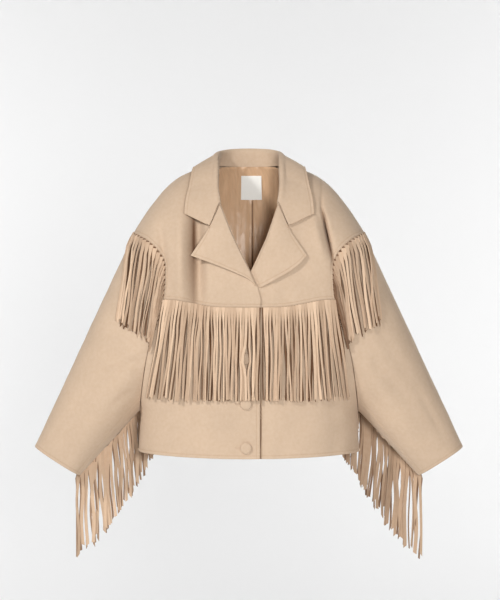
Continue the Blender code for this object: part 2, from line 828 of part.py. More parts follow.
def button(index, height, suede):
    """A dome covered in suede, sewn to the right front."""
    bm = bmesh.new()
    base = 0.0012
    outline = [(0.0, 0.0), (BUTTON_RADIUS * 0.93, 0.0), (BUTTON_RADIUS, base)]
    for k in range(1, 5):
        angle = math.pi / 2 * k / 4
        outline.append((BUTTON_RADIUS * math.cos(angle), base + BUTTON_DOME * math.sin(angle)))
    verts = [bm.verts.new((r, 0.0, h)) for r, h in outline]
    edges = [bm.edges.new(pair) for pair in zip(verts, verts[1:])]
    bmesh.ops.spin(
        bm,
        geom=verts + edges,
        cent=(0, 0, 0),
        axis=(0, 0, 1),
        angle=2 * math.pi,
        steps=20,
        use_merge=True,
    )
    bmesh.ops.remove_doubles(bm, verts=bm.verts[:], dist=0.00005)
    bmesh.ops.recalc_face_normals(bm, faces=bm.faces[:])
    mesh = bpy.data.meshes.new(f"button_{index}")
    bm.to_mesh(mesh)
    bm.free()
    mesh.shade_smooth()
    mesh.materials.append(suede)
    made = bpy.data.objects.new(f"button_{index}", mesh)
    seat = front_place(BUTTON_ACROSS, height, -1)
    made.location = seat - Vector((0, LAY_GAP, 0))
    made.rotation_euler = (math.pi / 2, 0, 0)
    bpy.context.scene.collection.objects.link(made)
    return made


def build():
    clear_scene()
    suede = finish("sand_suede", (0.730, 0.552, 0.407), 0.9)
    satin = finish("lining_satin", (0.451, 0.296, 0.191), 0.45)
    ribbon = finish("label_ribbon", (0.83, 0.81, 0.72), 0.7)
    for side in (-1, 1):
        front_yoke(side, suede)
        front_panel(side, suede)
        chest_fringe(side, suede)
        lapel(side, suede)
        sleeve_top(side, suede)
        sleeve_under(side, suede)
        sleeve_fringe(side, suede)
        arm_fringe(side, suede, True)
        arm_fringe(side, suede, False)
    collar_fall(suede)
    collar_stand(suede)
    back_panel(suede)
    back_lining(satin)
    neck_label(ribbon)
    for index, height in enumerate(BUTTON_HEIGHTS, 1):
        button(index, height, suede)


build()
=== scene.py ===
"""Finish of the fringed suede jacket: cut pieces, fringe, buttons, lining and stage.

Metres, +Z up, front towards -Y, the wearer's right at -X. The tables repeat the forms of
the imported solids, so each piece lies on the node that it stands for.
"""

import math

import bmesh
import bpy
import numpy as np
from mathutils import Matrix, Vector


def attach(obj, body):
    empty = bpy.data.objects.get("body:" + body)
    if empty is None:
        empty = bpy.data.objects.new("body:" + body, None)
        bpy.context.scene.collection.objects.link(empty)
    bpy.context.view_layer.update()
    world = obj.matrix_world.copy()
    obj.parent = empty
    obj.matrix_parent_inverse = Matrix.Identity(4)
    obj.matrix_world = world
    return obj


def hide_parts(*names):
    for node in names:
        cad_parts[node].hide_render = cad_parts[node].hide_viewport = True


bl_info = {
    "name": "Fringed Suede Jacket",
    "version": (1, 0, 0),
    "blender": (4, 5, 0),
    "location": "View3D > Sidebar > Jacket",
    "description": "Finishes a packed jacket frame with sewn suede, fringe and satin",
    "category": "Object",
}

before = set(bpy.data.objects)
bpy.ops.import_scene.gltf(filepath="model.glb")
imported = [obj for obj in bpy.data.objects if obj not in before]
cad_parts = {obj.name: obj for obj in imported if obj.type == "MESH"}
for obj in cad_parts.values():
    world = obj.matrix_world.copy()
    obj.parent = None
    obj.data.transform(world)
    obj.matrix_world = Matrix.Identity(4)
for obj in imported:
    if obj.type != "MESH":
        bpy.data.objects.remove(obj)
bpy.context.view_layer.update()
MM = 0.001

# ---------------------------------------------------------------- form of the jacket
# Walls, and gaps between them
SUEDE = 1.6 * MM
LEAF = 2.2 * MM
SATIN = 0.8 * MM
LINING_ROOM = 3.6 * MM
LAY_GAP = 0.4 * MM
# Body: heights where its front and back start to close in, roundness of its level sections,
# ends of the shoulder seam, hem, and the part of the left front that lies under the right
CHEST_LEVEL = -0.215
BLADE_LEVEL = -0.165
SIDE_POWER = 2.5
NECK_POINT = 0.0770
SHOULDER_POINT = 0.2420
HEM_SIDE = -0.589
HEM_DROP = 0.009
HEM_HALF = 0.23
RIGHT_EDGE = 0.0225
LEFT_EDGE = -0.0340
UNDERLAP = 0.0042
UNDERLAP_START = 0.052
UNDERLAP_RUN = 0.026
BUTTON_ACROSS = -0.0061
BUTTON_HEIGHTS = (-0.3936, -0.4856, -0.5755)
# Collar: clearance from the cloth, less where it is sewn, crown of its leaf, and its notch
COLLAR_CLEAR = 0.0022
COLLAR_CROWN = 0.0015
COLLAR_UPWARD = 0.7
SEWN_CLEAR = 0.3
SEWN_SHARE = 0.06
NOTCH_RISE = 0.0012
GORGE_SHARE = 0.13
# Lapels: how far they run under the collar, and how they lie on the fronts
UNDER_COLLAR = 0.012
LAPEL_REST = 0.0006
LAPEL_CROWN = 0.0034
LAPEL_TIP_LIFT = 0.0014
LAPEL_ROLL_DROP = 0.0036
# Sleeves: cuff, fullness, the point that folds sink towards, the run that the creases of the
# body reach down, seams as turns at the armhole and at the cuff, and steps of a search
CUFF_CENTRE = (0.4020, -0.6103)
CUFF_HALF_WIDTH = 0.0560
CUFF_HALF_DEPTH = 0.0400
CUFF_SLOPE = math.radians(32.8)
CUFF_POWER = 2.3
SLEEVE_START = 0.0004
SLEEVE_FULLNESS = 0.010
SLEEVE_MIDDLE = (0.30, -0.40)
CREASED_RUN = 0.12
FRONT_SEAM = (0.050, 0.075)
FRINGE_SEAM = (-0.118, -0.085)
SEARCH_STEPS = 40
# Fringe: foot of the chest fringe, lengths of the sleeve fringe at its ends, and the turns of
# the armhole that its fringe takes up
CHEST_FRINGE_END = -0.4780
SLEEVE_FRINGE_LENGTH = (0.156, 0.178)
ARM_FRINGE_FRONT = (0.205, 0.492)
ARM_FRINGE_BACK = (0.508, 0.795)
# Label, side to side and foot to top
LABEL_ACROSS = (-0.0175, 0.0283)
LABEL_UP = (-0.0570, -0.0053)

# Shoulder ridge: across, height
RIDGE = (
    (0.000, 0.083),
    (0.020, 0.077),
    (0.040, 0.058),
    (0.060, 0.034),
    (0.077, 0.014),
    (0.100, 0.005),
    (0.1365, -0.010),
    (0.162, -0.027),
    (0.1785, -0.043),
    (0.193, -0.060),
    (0.206, -0.077),
    (0.218, -0.094),
    (0.231, -0.114),
    (0.242, -0.1335),
    (0.449, -0.5805),
)
# Half width that the level sections round towards: height, half width
GIRTH = (
    (-0.640, 0.2325),
    (-0.589, 0.2312),
    (-0.540, 0.2285),
    (-0.502, 0.2277),
    (-0.470, 0.2380),
    (-0.430, 0.2550),
    (-0.390, 0.2720),
    (-0.330, 0.2860),
    (-0.215, 0.2900),
)
# Reach of the level sections below the chest: height, front, back
DEPTHS = (
    (-0.640, 0.128, 0.118),
    (-0.589, 0.127, 0.117),
    (-0.480, 0.126, 0.115),
    (-0.340, 0.127, 0.112),
    (-0.215, 0.124, 0.1085),
    (-0.165, 0.124, 0.108),
)
# Front armhole seam, top to underarm: across, height
FRONT_ARMHOLE = (
    (0.2420, -0.1335),
    (0.2270, -0.1400),
    (0.2090, -0.1500),
    (0.1850, -0.1730),
    (0.1745, -0.1970),
    (0.1745, -0.2320),
    (0.1785, -0.2720),
    (0.1930, -0.3300),
    (0.2100, -0.3880),
    (0.2205, -0.4500),
    (0.2275, -0.5020),
)
# Back armhole seam, top to underarm: across, height
BACK_ARMHOLE = (
    (0.2420, -0.1335),
    (0.2270, -0.1400),
    (0.2080, -0.1520),
    (0.1890, -0.1760),
    (0.1800, -0.2100),
    (0.1770, -0.2600),
    (0.1780, -0.3200),
    (0.1830, -0.3800),
    (0.1930, -0.4350),
    (0.2080, -0.4750),
    (0.2275, -0.5020),
)
# Yoke seam, centre outwards: across, height
YOKE_SEAM = (
    (-0.0340, -0.2885),
    (0.0225, -0.2885),
    (0.0740, -0.2870),
    (0.1200, -0.2790),
    (0.1500, -0.2735),
    (0.1785, -0.2720),
)
# Roll line of the fronts, lapel break up to the gorge: across, height
ROLL_RIGHT = ((0.0175, -0.2465), (0.0030, -0.2138), (-0.0320, -0.1415), (-0.0590, -0.0743))
ROLL_LEFT = ((-0.0135, -0.2465), (0.0045, -0.2130), (0.0345, -0.1480), (0.0600, -0.0743))
# Where each front starts to turn back: in from its edge, height
LAPEL_BREAK = {-1: (0.0015, -0.2715), 1: (0.003, -0.2650)}
# Neck seam from the gorge to the shoulder, and across the back: across, height
NECK_FRONT = ((0.0590, -0.0743), (0.0690, -0.0350), (0.0770, 0.0140))
NECK_BACK = ((0.0770, 0.0140), (0.0600, 0.0105), (0.0400, 0.0100), (0.0000, 0.0100))
NOTCH = (0.0800, -0.1225)
LAPEL_TIP = (0.1195, -0.1820)
# Lower edge of each lapel, centre to tip: across, height
LAPEL_HEM_RIGHT = (
    (0.0205, -0.2660),
    (0.0140, -0.2575),
    (-0.0082, -0.2400),
    (-0.0594, -0.2118),
    (-0.1180, -0.1820),
)
LAPEL_HEM_LEFT = (
    (0.0190, -0.2500),
    (0.0532, -0.2320),
    (0.0839, -0.2145),
    (0.1044, -0.1990),
    (0.1200, -0.1820),
)
# Collar stations from the front end to the centre back.
# roll across, depth, height; outer edge across, depth, height; seam across, depth, height
COLLAR = (
    (0.0600, -0.1000, -0.0743, 0.1330, -0.0930, -0.1030, 0.0600, -0.0960, -0.0760),
    (0.0655, -0.0850, -0.0400, 0.1300, -0.0830, -0.0700, 0.0690, -0.0770, -0.0420),
    (0.0668, -0.0560, -0.0020, 0.1225, -0.0660, -0.0300, 0.0735, -0.0460, -0.0130),
    (0.0672, -0.0200, 0.0260, 0.1160, -0.0320, 0.0010, 0.0750, -0.0120, 0.0040),
    (0.0655, 0.0150, 0.0350, 0.1100, 0.0160, 0.0030, 0.0725, 0.0180, 0.0115),
    (0.0590, 0.0400, 0.0395, 0.1000, 0.0560, -0.0080, 0.0640, 0.0420, 0.0118),
    (0.0420, 0.0600, 0.0438, 0.0730, 0.0830, -0.0220, 0.0440, 0.0610, 0.0110),
    (0.0200, 0.0680, 0.0455, 0.0370, 0.0950, -0.0290, 0.0200, 0.0695, 0.0110),
    (0.0000, 0.0700, 0.0458, 0.0000, 0.0980, -0.0300, 0.0000, 0.0720, 0.0110),
)
# Tips of the armhole fringe, shoulder to body: across, height
ARM_TIPS = (
    (0.2725, -0.3123),
    (0.2445, -0.3351),
    (0.2134, -0.3558),
    (0.1970, -0.3700),
    (0.1880, -0.3760),
)
# Lining below the neck seam, neck outwards to the shoulder: across, height
LINING_TOP = (
    (0.0400, 0.0070),
    (0.0600, 0.0060),
    (0.0780, 0.0020),
    (0.1150, -0.0100),
    (0.1500, -0.0400),
)
# Side of the lining, hem to shoulder: across, height
LINING_SIDE = ((0.2150, -0.5590), (0.1700, -0.4000), (0.1650, -0.2000), (0.1500, -0.0400))

# Depth of body below which its folds fade, how faint a fold is at its ends, and how far past
# them it dies out
FOLD_FADE = 0.06
FOLD_TAIL = 0.06
FOLD_END = 0.04
# Folds given as from across, height; to across, height; half width, depth.
# The first rows of each table are those of the solids, and a negative depth is a ridge.
FOLDS_RIGHT = (
    (-0.1230, -0.030, -0.1200, -0.285, 0.020, 0.0075),
    (-0.1750, -0.060, -0.1650, -0.260, 0.018, 0.0030),
    (-0.1050, -0.030, -0.1010, -0.310, 0.0115, 0.0190),
    (-0.0960, -0.030, -0.0930, -0.310, 0.0220, 0.0060),
    (-0.1400, -0.070, -0.1400, -0.310, 0.013, -0.0085),
    (-0.0860, -0.110, -0.0820, -0.285, 0.012, -0.0022),
    (-0.1850, -0.110, -0.1680, -0.230, 0.008, 0.0065),
    (-0.0700, -0.235, -0.0600, -0.287, 0.014, 0.0012),
    (-0.1900, -0.490, -0.1960, -0.585, 0.012, 0.0013),
    (-0.0350, -0.480, -0.0300, -0.590, 0.009, 0.0009),
    (-0.1100, -0.500, -0.1180, -0.592, 0.026, 0.0012),
)
FOLDS_LEFT = (
    (0.1480, -0.095, 0.1760, -0.196, 0.013, 0.0085),
    (0.1150, -0.060, 0.1080, -0.280, 0.020, 0.0025),
    (0.1495, -0.080, 0.1715, -0.190, 0.0034, 0.0170),
    (0.1590, -0.080, 0.1800, -0.190, 0.0080, -0.0025),
    (0.1320, -0.090, 0.1580, -0.200, 0.010, -0.0030),
    (0.0700, -0.230, 0.0760, -0.286, 0.013, 0.0012),
    (0.1880, -0.500, 0.1950, -0.588, 0.013, 0.0012),
    (0.0900, -0.485, 0.0960, -0.592, 0.024, 0.0011),
    (0.1420, -0.500, 0.1380, -0.590, 0.018, -0.0007),
)
FOLDS_BACK = (
    (-0.1500, -0.060, -0.1350, -0.420, 0.024, 0.0060),
    (0.1420, -0.080, 0.1500, -0.380, 0.022, 0.0050),
    (-0.0500, -0.180, -0.0650, -0.560, 0.030, 0.0030),
    (0.0600, -0.150, 0.0450, -0.500, 0.030, 0.0035),
    (-0.1750, -0.120, -0.1500, -0.230, 0.010, 0.0022),
    (0.1720, -0.130, 0.1450, -0.260, 0.011, 0.0018),
    (0.0100, -0.300, -0.0050, -0.585, 0.016, -0.0010),
    (-0.1150, -0.380, -0.1220, -0.588, 0.017, 0.0016),
    (0.1230, -0.420, 0.1180, -0.590, 0.014, 0.0013),
)
# Painted shade in deep creases and beside the front closing, in the same layout: half width,
# strength
PAINTED_SHADE_RIGHT = (
    (-0.1190, -0.020, -0.1160, -0.330, 0.0110, 0.55),
    (-0.1135, -0.085, -0.1130, -0.200, 0.0030, 0.70),
)
PAINTED_SHADE_CLOSING = ((0.0240, -0.340, 0.0240, -0.760, 0.0017, 1.0),)
PAINTED_SHADE_LEFT = ((0.1495, -0.080, 0.1770, -0.215, 0.0026, 1.0),)
# Folds of a sleeve: from turn, run; to turn, run; half width, depth
FOLDS_SLEEVE_RIGHT = (
    (0.140, 0.03, 0.240, 0.34, 0.016, 0.0040),
    (0.180, 0.24, 0.330, 0.60, 0.020, 0.0045),
    (0.090, 0.10, 0.170, 0.52, 0.014, 0.0018),
    (0.300, 0.55, 0.360, 0.97, 0.020, 0.0012),
    (0.780, 0.05, 0.690, 0.45, 0.017, 0.0024),
    (0.840, 0.20, 0.770, 0.70, 0.014, 0.0016),
    (0.640, 0.50, 0.660, 0.95, 0.020, 0.0013),
)
FOLDS_SLEEVE_LEFT = (
    (0.150, 0.03, 0.230, 0.30, 0.015, 0.0024),
    (0.230, 0.30, 0.300, 0.72, 0.022, 0.0012),
    (0.095, 0.14, 0.160, 0.60, 0.013, 0.0012),
    (0.360, 0.62, 0.330, 0.97, 0.018, 0.0011),
    (0.800, 0.04, 0.720, 0.38, 0.016, 0.0022),
    (0.850, 0.25, 0.790, 0.62, 0.013, 0.0018),
    (0.610, 0.40, 0.650, 0.90, 0.022, 0.0012),
)

# Edge finishes: drop at the edge, raised band, stitch row, groove of the row, in mm
STITCH_ROW = 6.8
EDGES = {
    "seam": (1.1, 0.15, 0.0, 0.0),
    "lapped": (0.4, 0.30, STITCH_ROW, 0.25),
    "turned": (0.6, 0.22, STITCH_ROW, 0.25),
    "joined": (0.3, 0.15, 0.0, 0.0),
    "raw": (0.2, 0.0, 0.0, 0.0),
}
# Mesh lines beside a finished edge
NEAR_EDGE = np.array([0.0, 0.5, 1.2, 2.3, 3.8, 5.4, 6.2, STITCH_ROW, 7.4, 8.2, 10.0]) * MM
STITCH_PITCH = 4.0 * MM
STITCH_LENGTH = 3.0 * MM
STITCH_THICK = 0.55 * MM
STITCH_PROUD = 0.12 * MM
# Gentle swell of a cut piece: height and distance between its crests
SWELL_HEIGHT = 0.28 * MM
SWELL_LENGTH = 55 * MM


# ---------------------------------------------------------------- curves and surfaces
def hermite(at, values, slopes, where):
    """Smooth values at places along knots, from the values and slopes of the knots."""
    where = np.clip(where, at[0], at[-1])
    i = np.clip(np.searchsorted(at, where, side="right") - 1, 0, len(at) - 2)
    span = at[i + 1] - at[i]
    f = (where - at[i]) / span
    if values.ndim > 1:
        f = f[..., None]
        span = span[..., None]
    rise = values[i] * (2 * f**3 - 3 * f**2 + 1) + values[i + 1] * (3 * f**2 - 2 * f**3)
    return rise + span * (slopes[i] * (f**3 - 2 * f**2 + f) + slopes[i + 1] * (f**3 - f**2))


def knot_slopes(at, values):
    """Slope at each knot, across its neighbours."""
    low = np.maximum(np.arange(len(at)) - 1, 0)
    high = np.minimum(np.arange(len(at)) + 1, len(at) - 1)
    run = at[high] - at[low]
    return (values[high] - values[low]) / (run[:, None] if values.ndim > 1 else run)


def chord(points):
    """How far along each point is, 0 to 1."""
    steps = np.linalg.norm(np.diff(points, axis=0), axis=-1)
    at = np.concatenate([[0.0], np.cumsum(steps)])
    return at / at[-1]


def curve(points, by_station=False):
    """A smooth curve through points, as a function of 0 to 1."""
    points = np.array(points, dtype=float)
    at = np.linspace(0, 1, len(points)) if by_station else chord(points)
    slopes = knot_slopes(at, points)
    return lambda t: hermite(at, points, slopes, np.clip(t, 0, 1))


def corners(points):
    """Straight lines through points, as a function of 0 to 1."""
    points = np.array(points, dtype=float)
    at = chord(points)
    return lambda t: np.stack([np.interp(t, at, column) for column in points.T], axis=-1)


def look_up(rows, key, column):
    """Smooth values from a table sorted by its first column."""
    table = np.array(rows)
    at, values = table[:, 0], table[:, column]
    return hermite(at, values, knot_slopes(at, values), np.asarray(key, dtype=float))


def mirrored(points, side):
    """Points of a table with their first column on one side."""
    return [(p[0] * side, *p[1:]) for p in points]


def stretch(path, start, end):
    """The part of a path from start to end, as a path of its own."""
    return lambda t: path(start + (end - start) * np.asarray(t))


def crossing(path, height):
    """Where a falling path passes a height."""
    t = np.linspace(0, 1, 4001)
    return float(np.interp(-height, -path(t)[:, 1], t))


def ease(t):
    """0 to 1 with flat ends."""
    t = np.clip(t, 0.0, 1.0)
    return t * t * (3 - 2 * t)


def bell(x):
    """A smooth bump, 1 in the middle."""
    return np.exp(-x * x)


def fold_depth(x, z, folds):
    """How far the cloth sinks at places, from a table of folds.

    The first two folds of a table run on faintly past their ends, and the rest die out.
    """
    sunk = np.zeros(np.broadcast(x, z).shape)
    for index, (x0, z0, x1, z1, half, depth) in enumerate(folds):
        run = np.clip((z0 - z) / (z0 - z1), 0, 1)
        fold = depth * bell((x - x0 - (x1 - x0) * run) / half)
        if index > 1:
            fold = fold * ease(1 - np.maximum(z - z0, z1 - z) / FOLD_END)
        sunk += fold * np.sin(np.pi * (FOLD_TAIL + (1 - 2 * FOLD_TAIL) * run))
    return sunk


def depth_at(x, z, column, level):
    """Distance of the body's cloth from the shoulder plane."""
    across = np.minimum(np.abs(x) / look_up(GIRTH, z, 1), 1.0)
    depth = look_up(DEPTHS, z, column) * (1.0 - across**SIDE_POWER) ** (1.0 / SIDE_POWER)
    top = look_up(RIDGE, np.abs(x), 1)
    rise = np.clip((z - level) / np.maximum(top - level, 1e-6), 0.0, 1.0)
    return depth * np.sqrt(1.0 - rise * rise)


def front_place(x, z, side=0, rows=None):
    """Points on the outer face of a front: side -1 is the right front, 1 the left.

    rows is how many rows of the fold table count.
    """
    depth = depth_at(x, z, 1, CHEST_LEVEL)
    fade = np.minimum(depth / FOLD_FADE, 1.0)
    if side < 0:
        depth = depth - fold_depth(x, z, FOLDS_RIGHT[:rows]) * fade
    if side > 0:
        depth = depth - fold_depth(x, z, FOLDS_LEFT[:rows]) * fade
        depth = depth - UNDERLAP * ease((UNDERLAP_START - x) / UNDERLAP_RUN)
    return np.stack([x, -depth, z], axis=-1)


def back_place(x, z):
    """Points on the outer face of the back."""
    depth = depth_at(x, z, 2, BLADE_LEVEL)
    fade = np.minimum(depth / FOLD_FADE, 1.0)
    depth = depth - fold_depth(x, z, FOLDS_BACK) * fade
    return np.stack([x, depth, z], axis=-1)


def unit(vectors):
    """Vectors of length 1."""
    return vectors / np.maximum(np.linalg.norm(vectors, axis=-1, keepdims=True), 1e-12)


def back_inside(x, z, inward):
    """Points inside the back, set distances in from its outer face."""
    step = 0.001
    across = back_place(x + step, z) - back_place(x - step, z)
    up = back_place(x, z + step) - back_place(x, z - step)
    return back_place(x, z) + unit(np.cross(across, up)) * np.asarray(inward)[..., None]


def patch(bottom, top, inner, outer):
    """Places inside four paths. u runs inner to outer and v bottom to top."""
    low = (bottom(np.zeros(1))[0], bottom(np.ones(1))[0])
    high = (top(np.zeros(1))[0], top(np.ones(1))[0])

    def place(u, v):
        a, b = u[..., None], v[..., None]
        flat = inner(v) * (1 - a) + outer(v) * a + bottom(u) * (1 - b) + top(u) * b
        below = (low[0] * (1 - a) + low[1] * a) * (1 - b)
        above = (high[0] * (1 - a) + high[1] * a) * b
        return flat - below - above

    return place


def settled(t):
    """Brings places closer together where a piece rounds over its far edge."""
    return np.sin(np.asarray(t) * np.pi / 2)


def hem_height(x):
    """Height of the hem at places across."""
    return HEM_SIDE - HEM_DROP * (1 - np.minimum(np.abs(x) / HEM_HALF, 1.0) ** 2)


def side_name(side):
    """The wearer's side: -1 is the right, 1 the left."""
    return "right" if side < 0 else "left"


def front_edge(side):
    """How far across the front edge of one front lies."""
    return RIGHT_EDGE if side < 0 else LEFT_EDGE


def yoke_line(side, end_across):
    """Yoke seam of one front, from its front edge to the armhole."""
    across = [p for p in YOKE_SEAM if p[0] > end_across * side + 0.003]
    return curve([(end_across, YOKE_SEAM[0][1])] + mirrored(across, side))


def shoulder_line(side):
    """Shoulder seam from the neck to the armhole."""

    def place(t):
        across = NECK_POINT + (SHOULDER_POINT - NECK_POINT) * np.asarray(t)
        return np.stack([side * across, look_up(RIDGE, across, 1)], axis=-1)

    return place


def yoke_surface(side):
    """Front above the fringe: front edge, roll line, neck, shoulder, armhole."""
    edge = front_edge(side)
    roll = ROLL_RIGHT if side < 0 else ROLL_LEFT
    in_from_edge, height = LAPEL_BREAK[side]
    below = [(edge, YOKE_SEAM[0][1]), (edge + in_from_edge, height)]
    inner = corners(below + list(roll) + mirrored(NECK_FRONT[1:], side))
    hole = curve(mirrored(FRONT_ARMHOLE, side))
    outer = stretch(hole, crossing(hole, YOKE_SEAM[-1][1]), 0.0)
    flat = patch(yoke_line(side, edge), shoulder_line(side), inner, outer)

    def surface(u, v):
        spot = flat(u, settled(v))
        return front_place(spot[..., 0], spot[..., 1], side)

    return surface


def panel_surface(side, edge, lower, reach=1.0):
    """Front below the yoke seam, down to the hem or to a lower line."""
    hole = curve(mirrored(FRONT_ARMHOLE, side))
    meet = crossing(hole, YOKE_SEAM[-1][1])
    hem_end = GIRTH[1][1] * side
    rows = list(hole(meet + (1 - meet) * np.linspace(0, 1, 7)))
    rows += [(GIRTH[2][1] * side, GIRTH[2][0]), (hem_end, HEM_SIDE)]
    outer = curve(rows)
    inner = corners([(edge, YOKE_SEAM[0][1]), (edge, float(hem_height(edge)))])
    across = edge + (hem_end - edge) * np.linspace(0, 1, 7)
    hem = curve(np.stack([across, hem_height(across)], axis=-1))
    if lower is not None:
        outer = stretch(outer, 0.0, crossing(outer, lower + 0.006))
        inner = corners([(edge, YOKE_SEAM[0][1]), (edge, lower)])
        far = outer(np.ones(1))[0]
        hem = curve([(edge, lower), ((edge + far[0]) / 2, lower), tuple(far)])
    flat = patch(yoke_line(side, edge), hem, inner, outer)

    def surface(u, v):
        spot = flat(settled(u) if lower is None else u * reach, v)
        return front_place(spot[..., 0], spot[..., 1], side)

    return surface


def lapel_surface(side):
    """Turned-back leaf of a front, rolled under at its fold."""
    if side < 0:
        roll = curve(ROLL_RIGHT)
        hem = curve(LAPEL_HEM_RIGHT)
    else:
        roll = corners([LAPEL_HEM_LEFT[0], *ROLL_LEFT[1:]])
        hem = curve(LAPEL_HEM_LEFT)
    gorge = corners(mirrored([NECK_FRONT[0], NOTCH], side))
    outer = corners(mirrored([LAPEL_TIP, NOTCH], side))
    flat = patch(hem, gorge, roll, outer)

    def surface(u, v):
        spot = flat(u, v * (1 + UNDER_COLLAR))
        point = front_place(spot[..., 0], spot[..., 1], side, 0)
        crown = 4 * u * (1 - u) * (1 - ease((v - 0.72) / 0.28))
        lift = LEAF + LAY_GAP + LAPEL_REST + LAPEL_CROWN * crown + LAPEL_TIP_LIFT * u
        lift = lift - LAPEL_ROLL_DROP * (1 - ease(u / 0.07))
        lift = lift - LAPEL_REST * ease((v - 0.97) / 0.03)
        return point - np.stack([0 * lift, lift, 0 * lift], axis=-1)

    return surface


def collar_paths():
    """Roll, outer edge and seam of the whole collar, right front end to left front end."""
    whole = [(-r[0], r[1], r[2], -r[3], r[4], r[5], -r[6], r[7], r[8]) for r in COLLAR]
    whole += reversed(COLLAR[:-1])
    whole = np.array(whole)
    return curve(whole[:, 0:3], True), curve(whole[:, 3:6], True), curve(whole[:, 6:9], True)


def off_body(points, clear):
    """Points pushed out, away from the middle of the chest, so that they clear the cloth."""
    column = np.where(points[..., 1] < 0, 1, 2)
    level = np.where(column == 1, CHEST_LEVEL, BLADE_LEVEL)
    front = depth_at(points[..., 0], np.full(column.shape, CHEST_LEVEL), 1, CHEST_LEVEL)
    back = depth_at(points[..., 0], np.full(column.shape, BLADE_LEVEL), 2, BLADE_LEVEL)
    depth = np.where(column == 1, front, back)
    rise = look_up(RIDGE, np.abs(points[..., 0]), 1) - level
    high = np.maximum(points[..., 2] - level, 0.0)
    share = np.hypot(points[..., 1] / depth, high / rise)
    reach = np.hypot(points[..., 1], high)
    grow = np.maximum((reach / share + clear) / reach, 1.0)
    moved = points.copy()
    moved[..., 1] *= grow
    moved[..., 2] += high * (grow - 1)
    return moved


def fall_place(t, v):
    """Points of the collar's outer leaf: t along the roll line, v roll line to outer edge."""
    roll, edge, _ = collar_paths()
    low, high = roll(t), edge(t)
    spot = low + (high - low) * v[..., None]
    for end in (0.0, 1.0):
        start, corner = roll(np.array([end]))[0], edge(np.array([end]))[0]
        side = -1 if end == 0.0 else 1
        depth = float(depth_at(np.array(NOTCH[0]), np.array(NOTCH[1]), 1, CHEST_LEVEL))
        forward = depth + LEAF + LAY_GAP + SEWN_CLEAR * COLLAR_CLEAR
        notch = (NOTCH[0] * side, -forward, NOTCH[1] + NOTCH_RISE)
        bend = corners([start, notch, corner])(v) - (start + (corner - start) * v[..., None])
        spot = spot + bend * ease(1 - np.abs(t - end) / GORGE_SHARE)[..., None]
    outward = unit(spot * (1, 1, 0)) + (0, 0, COLLAR_UPWARD)
    spot = spot + unit(outward) * (4 * v * (1 - v) * COLLAR_CROWN)[..., None]
    sewn = 1 - (1 - SEWN_CLEAR) * (1 - ease(np.minimum(t, 1 - t) / SEWN_SHARE))
    return off_body(spot, LEAF + LAY_GAP + COLLAR_CLEAR * sewn)


def ring(side, rows=None):
    """Armhole seam as one ring: 0 at the underarm, 0.5 at the shoulder, front first."""
    stops = 0.5 - 0.5 * np.cos(np.pi * np.arange(17) / 16)
    front = curve(mirrored(FRONT_ARMHOLE, side))(1 - stops)
    back = curve(mirrored(BACK_ARMHOLE, side))(stops)
    front_run = curve(front_place(front[:, 0], front[:, 1], side, rows))
    back_run = curve(back_place(back[:, 0], back[:, 1]))

    def place(turn):
        in_front = (turn <= 0.5)[..., None]
        return np.where(in_front, front_run(turn * 2), back_run(turn * 2 - 1))

    return place


def cuff(side):
    """Cuff edge as one ring, matched to the armhole ring."""
    across = np.array([math.cos(CUFF_SLOPE), 0, math.sin(CUFF_SLOPE)])

    def place(turn):
        angle = np.pi * (1 + 2 * turn)
        wide, deep = np.cos(angle), np.sin(angle)
        bend = (np.abs(wide) ** CUFF_POWER + np.abs(deep) ** CUFF_POWER) ** (-1 / CUFF_POWER)
        point = across * (wide * bend * CUFF_HALF_WIDTH)[..., None]
        middle = np.array([CUFF_CENTRE[0], 0, CUFF_CENTRE[1]])
        back = np.stack([0 * bend, deep * bend * CUFF_HALF_DEPTH, 0 * bend], axis=-1)
        return (point + middle + back) * (side, 1, 1)

    return place


def sleeve_place(side, folds=()):
    """Places on a sleeve: turn round it, and run from the armhole to the cuff.

    The creases of the body shape only its start.
    """
    root, calm, end = ring(side), ring(side, 2), cuff(side)
    middle = np.array([side * SLEEVE_MIDDLE[0], 0.0, SLEEVE_MIDDLE[1]])

    def place(turn, run):
        turn = np.mod(turn, 1.0)
        creased = ease(1 - run / CREASED_RUN)[..., None]
        start = calm(turn) + (root(turn) - calm(turn)) * creased
        point = start + (end(turn) - start) * run[..., None]
        fuller = np.sin(np.pi * run) * SLEEVE_FULLNESS * np.sin(2 * np.pi * turn)
        point = point - np.stack([0 * fuller, fuller, 0 * fuller], axis=-1)
        sunk = np.zeros(turn.shape)
        for t0, r0, t1, r1, half, depth in folds:
            along = np.clip((run - r0) / (r1 - r0), 0, 1)
            off = turn - t0 - (t1 - t0) * along
            sunk += depth * bell(off / half) * np.sin(np.pi * along)
        inward = unit((middle - point) * (0.2, 1, 0.2))
        return point + inward * sunk[..., None]

    return place


def turn_at(place, x, z, start, low, high):
    """Turn and run of the sleeve's face that lies at places across and high."""
    step, most = 0.002, 0.05
    turn = np.full(x.shape, start)
    run = np.full(x.shape, 0.2)
    for _ in range(SEARCH_STEPS):
        here = place(turn, run)
        by_turn = (place(turn + step, run) - here) / step
        by_run = (place(turn, run + step) - here) / step
        area = by_turn[..., 0] * by_run[..., 2] - by_run[..., 0] * by_turn[..., 2]
        dx, dz = x - here[..., 0], z - here[..., 2]
        step_turn = (dx * by_run[..., 2] - dz * by_run[..., 0]) / area
        step_run = (dz * by_turn[..., 0] - dx * by_turn[..., 2]) / area
        turn = np.clip(turn + np.clip(step_turn, -most, most), low, high)
        run = np.clip(run + np.clip(step_run, -most, most), -0.2, 1.1)
    return turn, run


# ---------------------------------------------------------------- cloth in meshes
FINE = np.linspace(0, 1, 181)
STITCH_ROWS = []


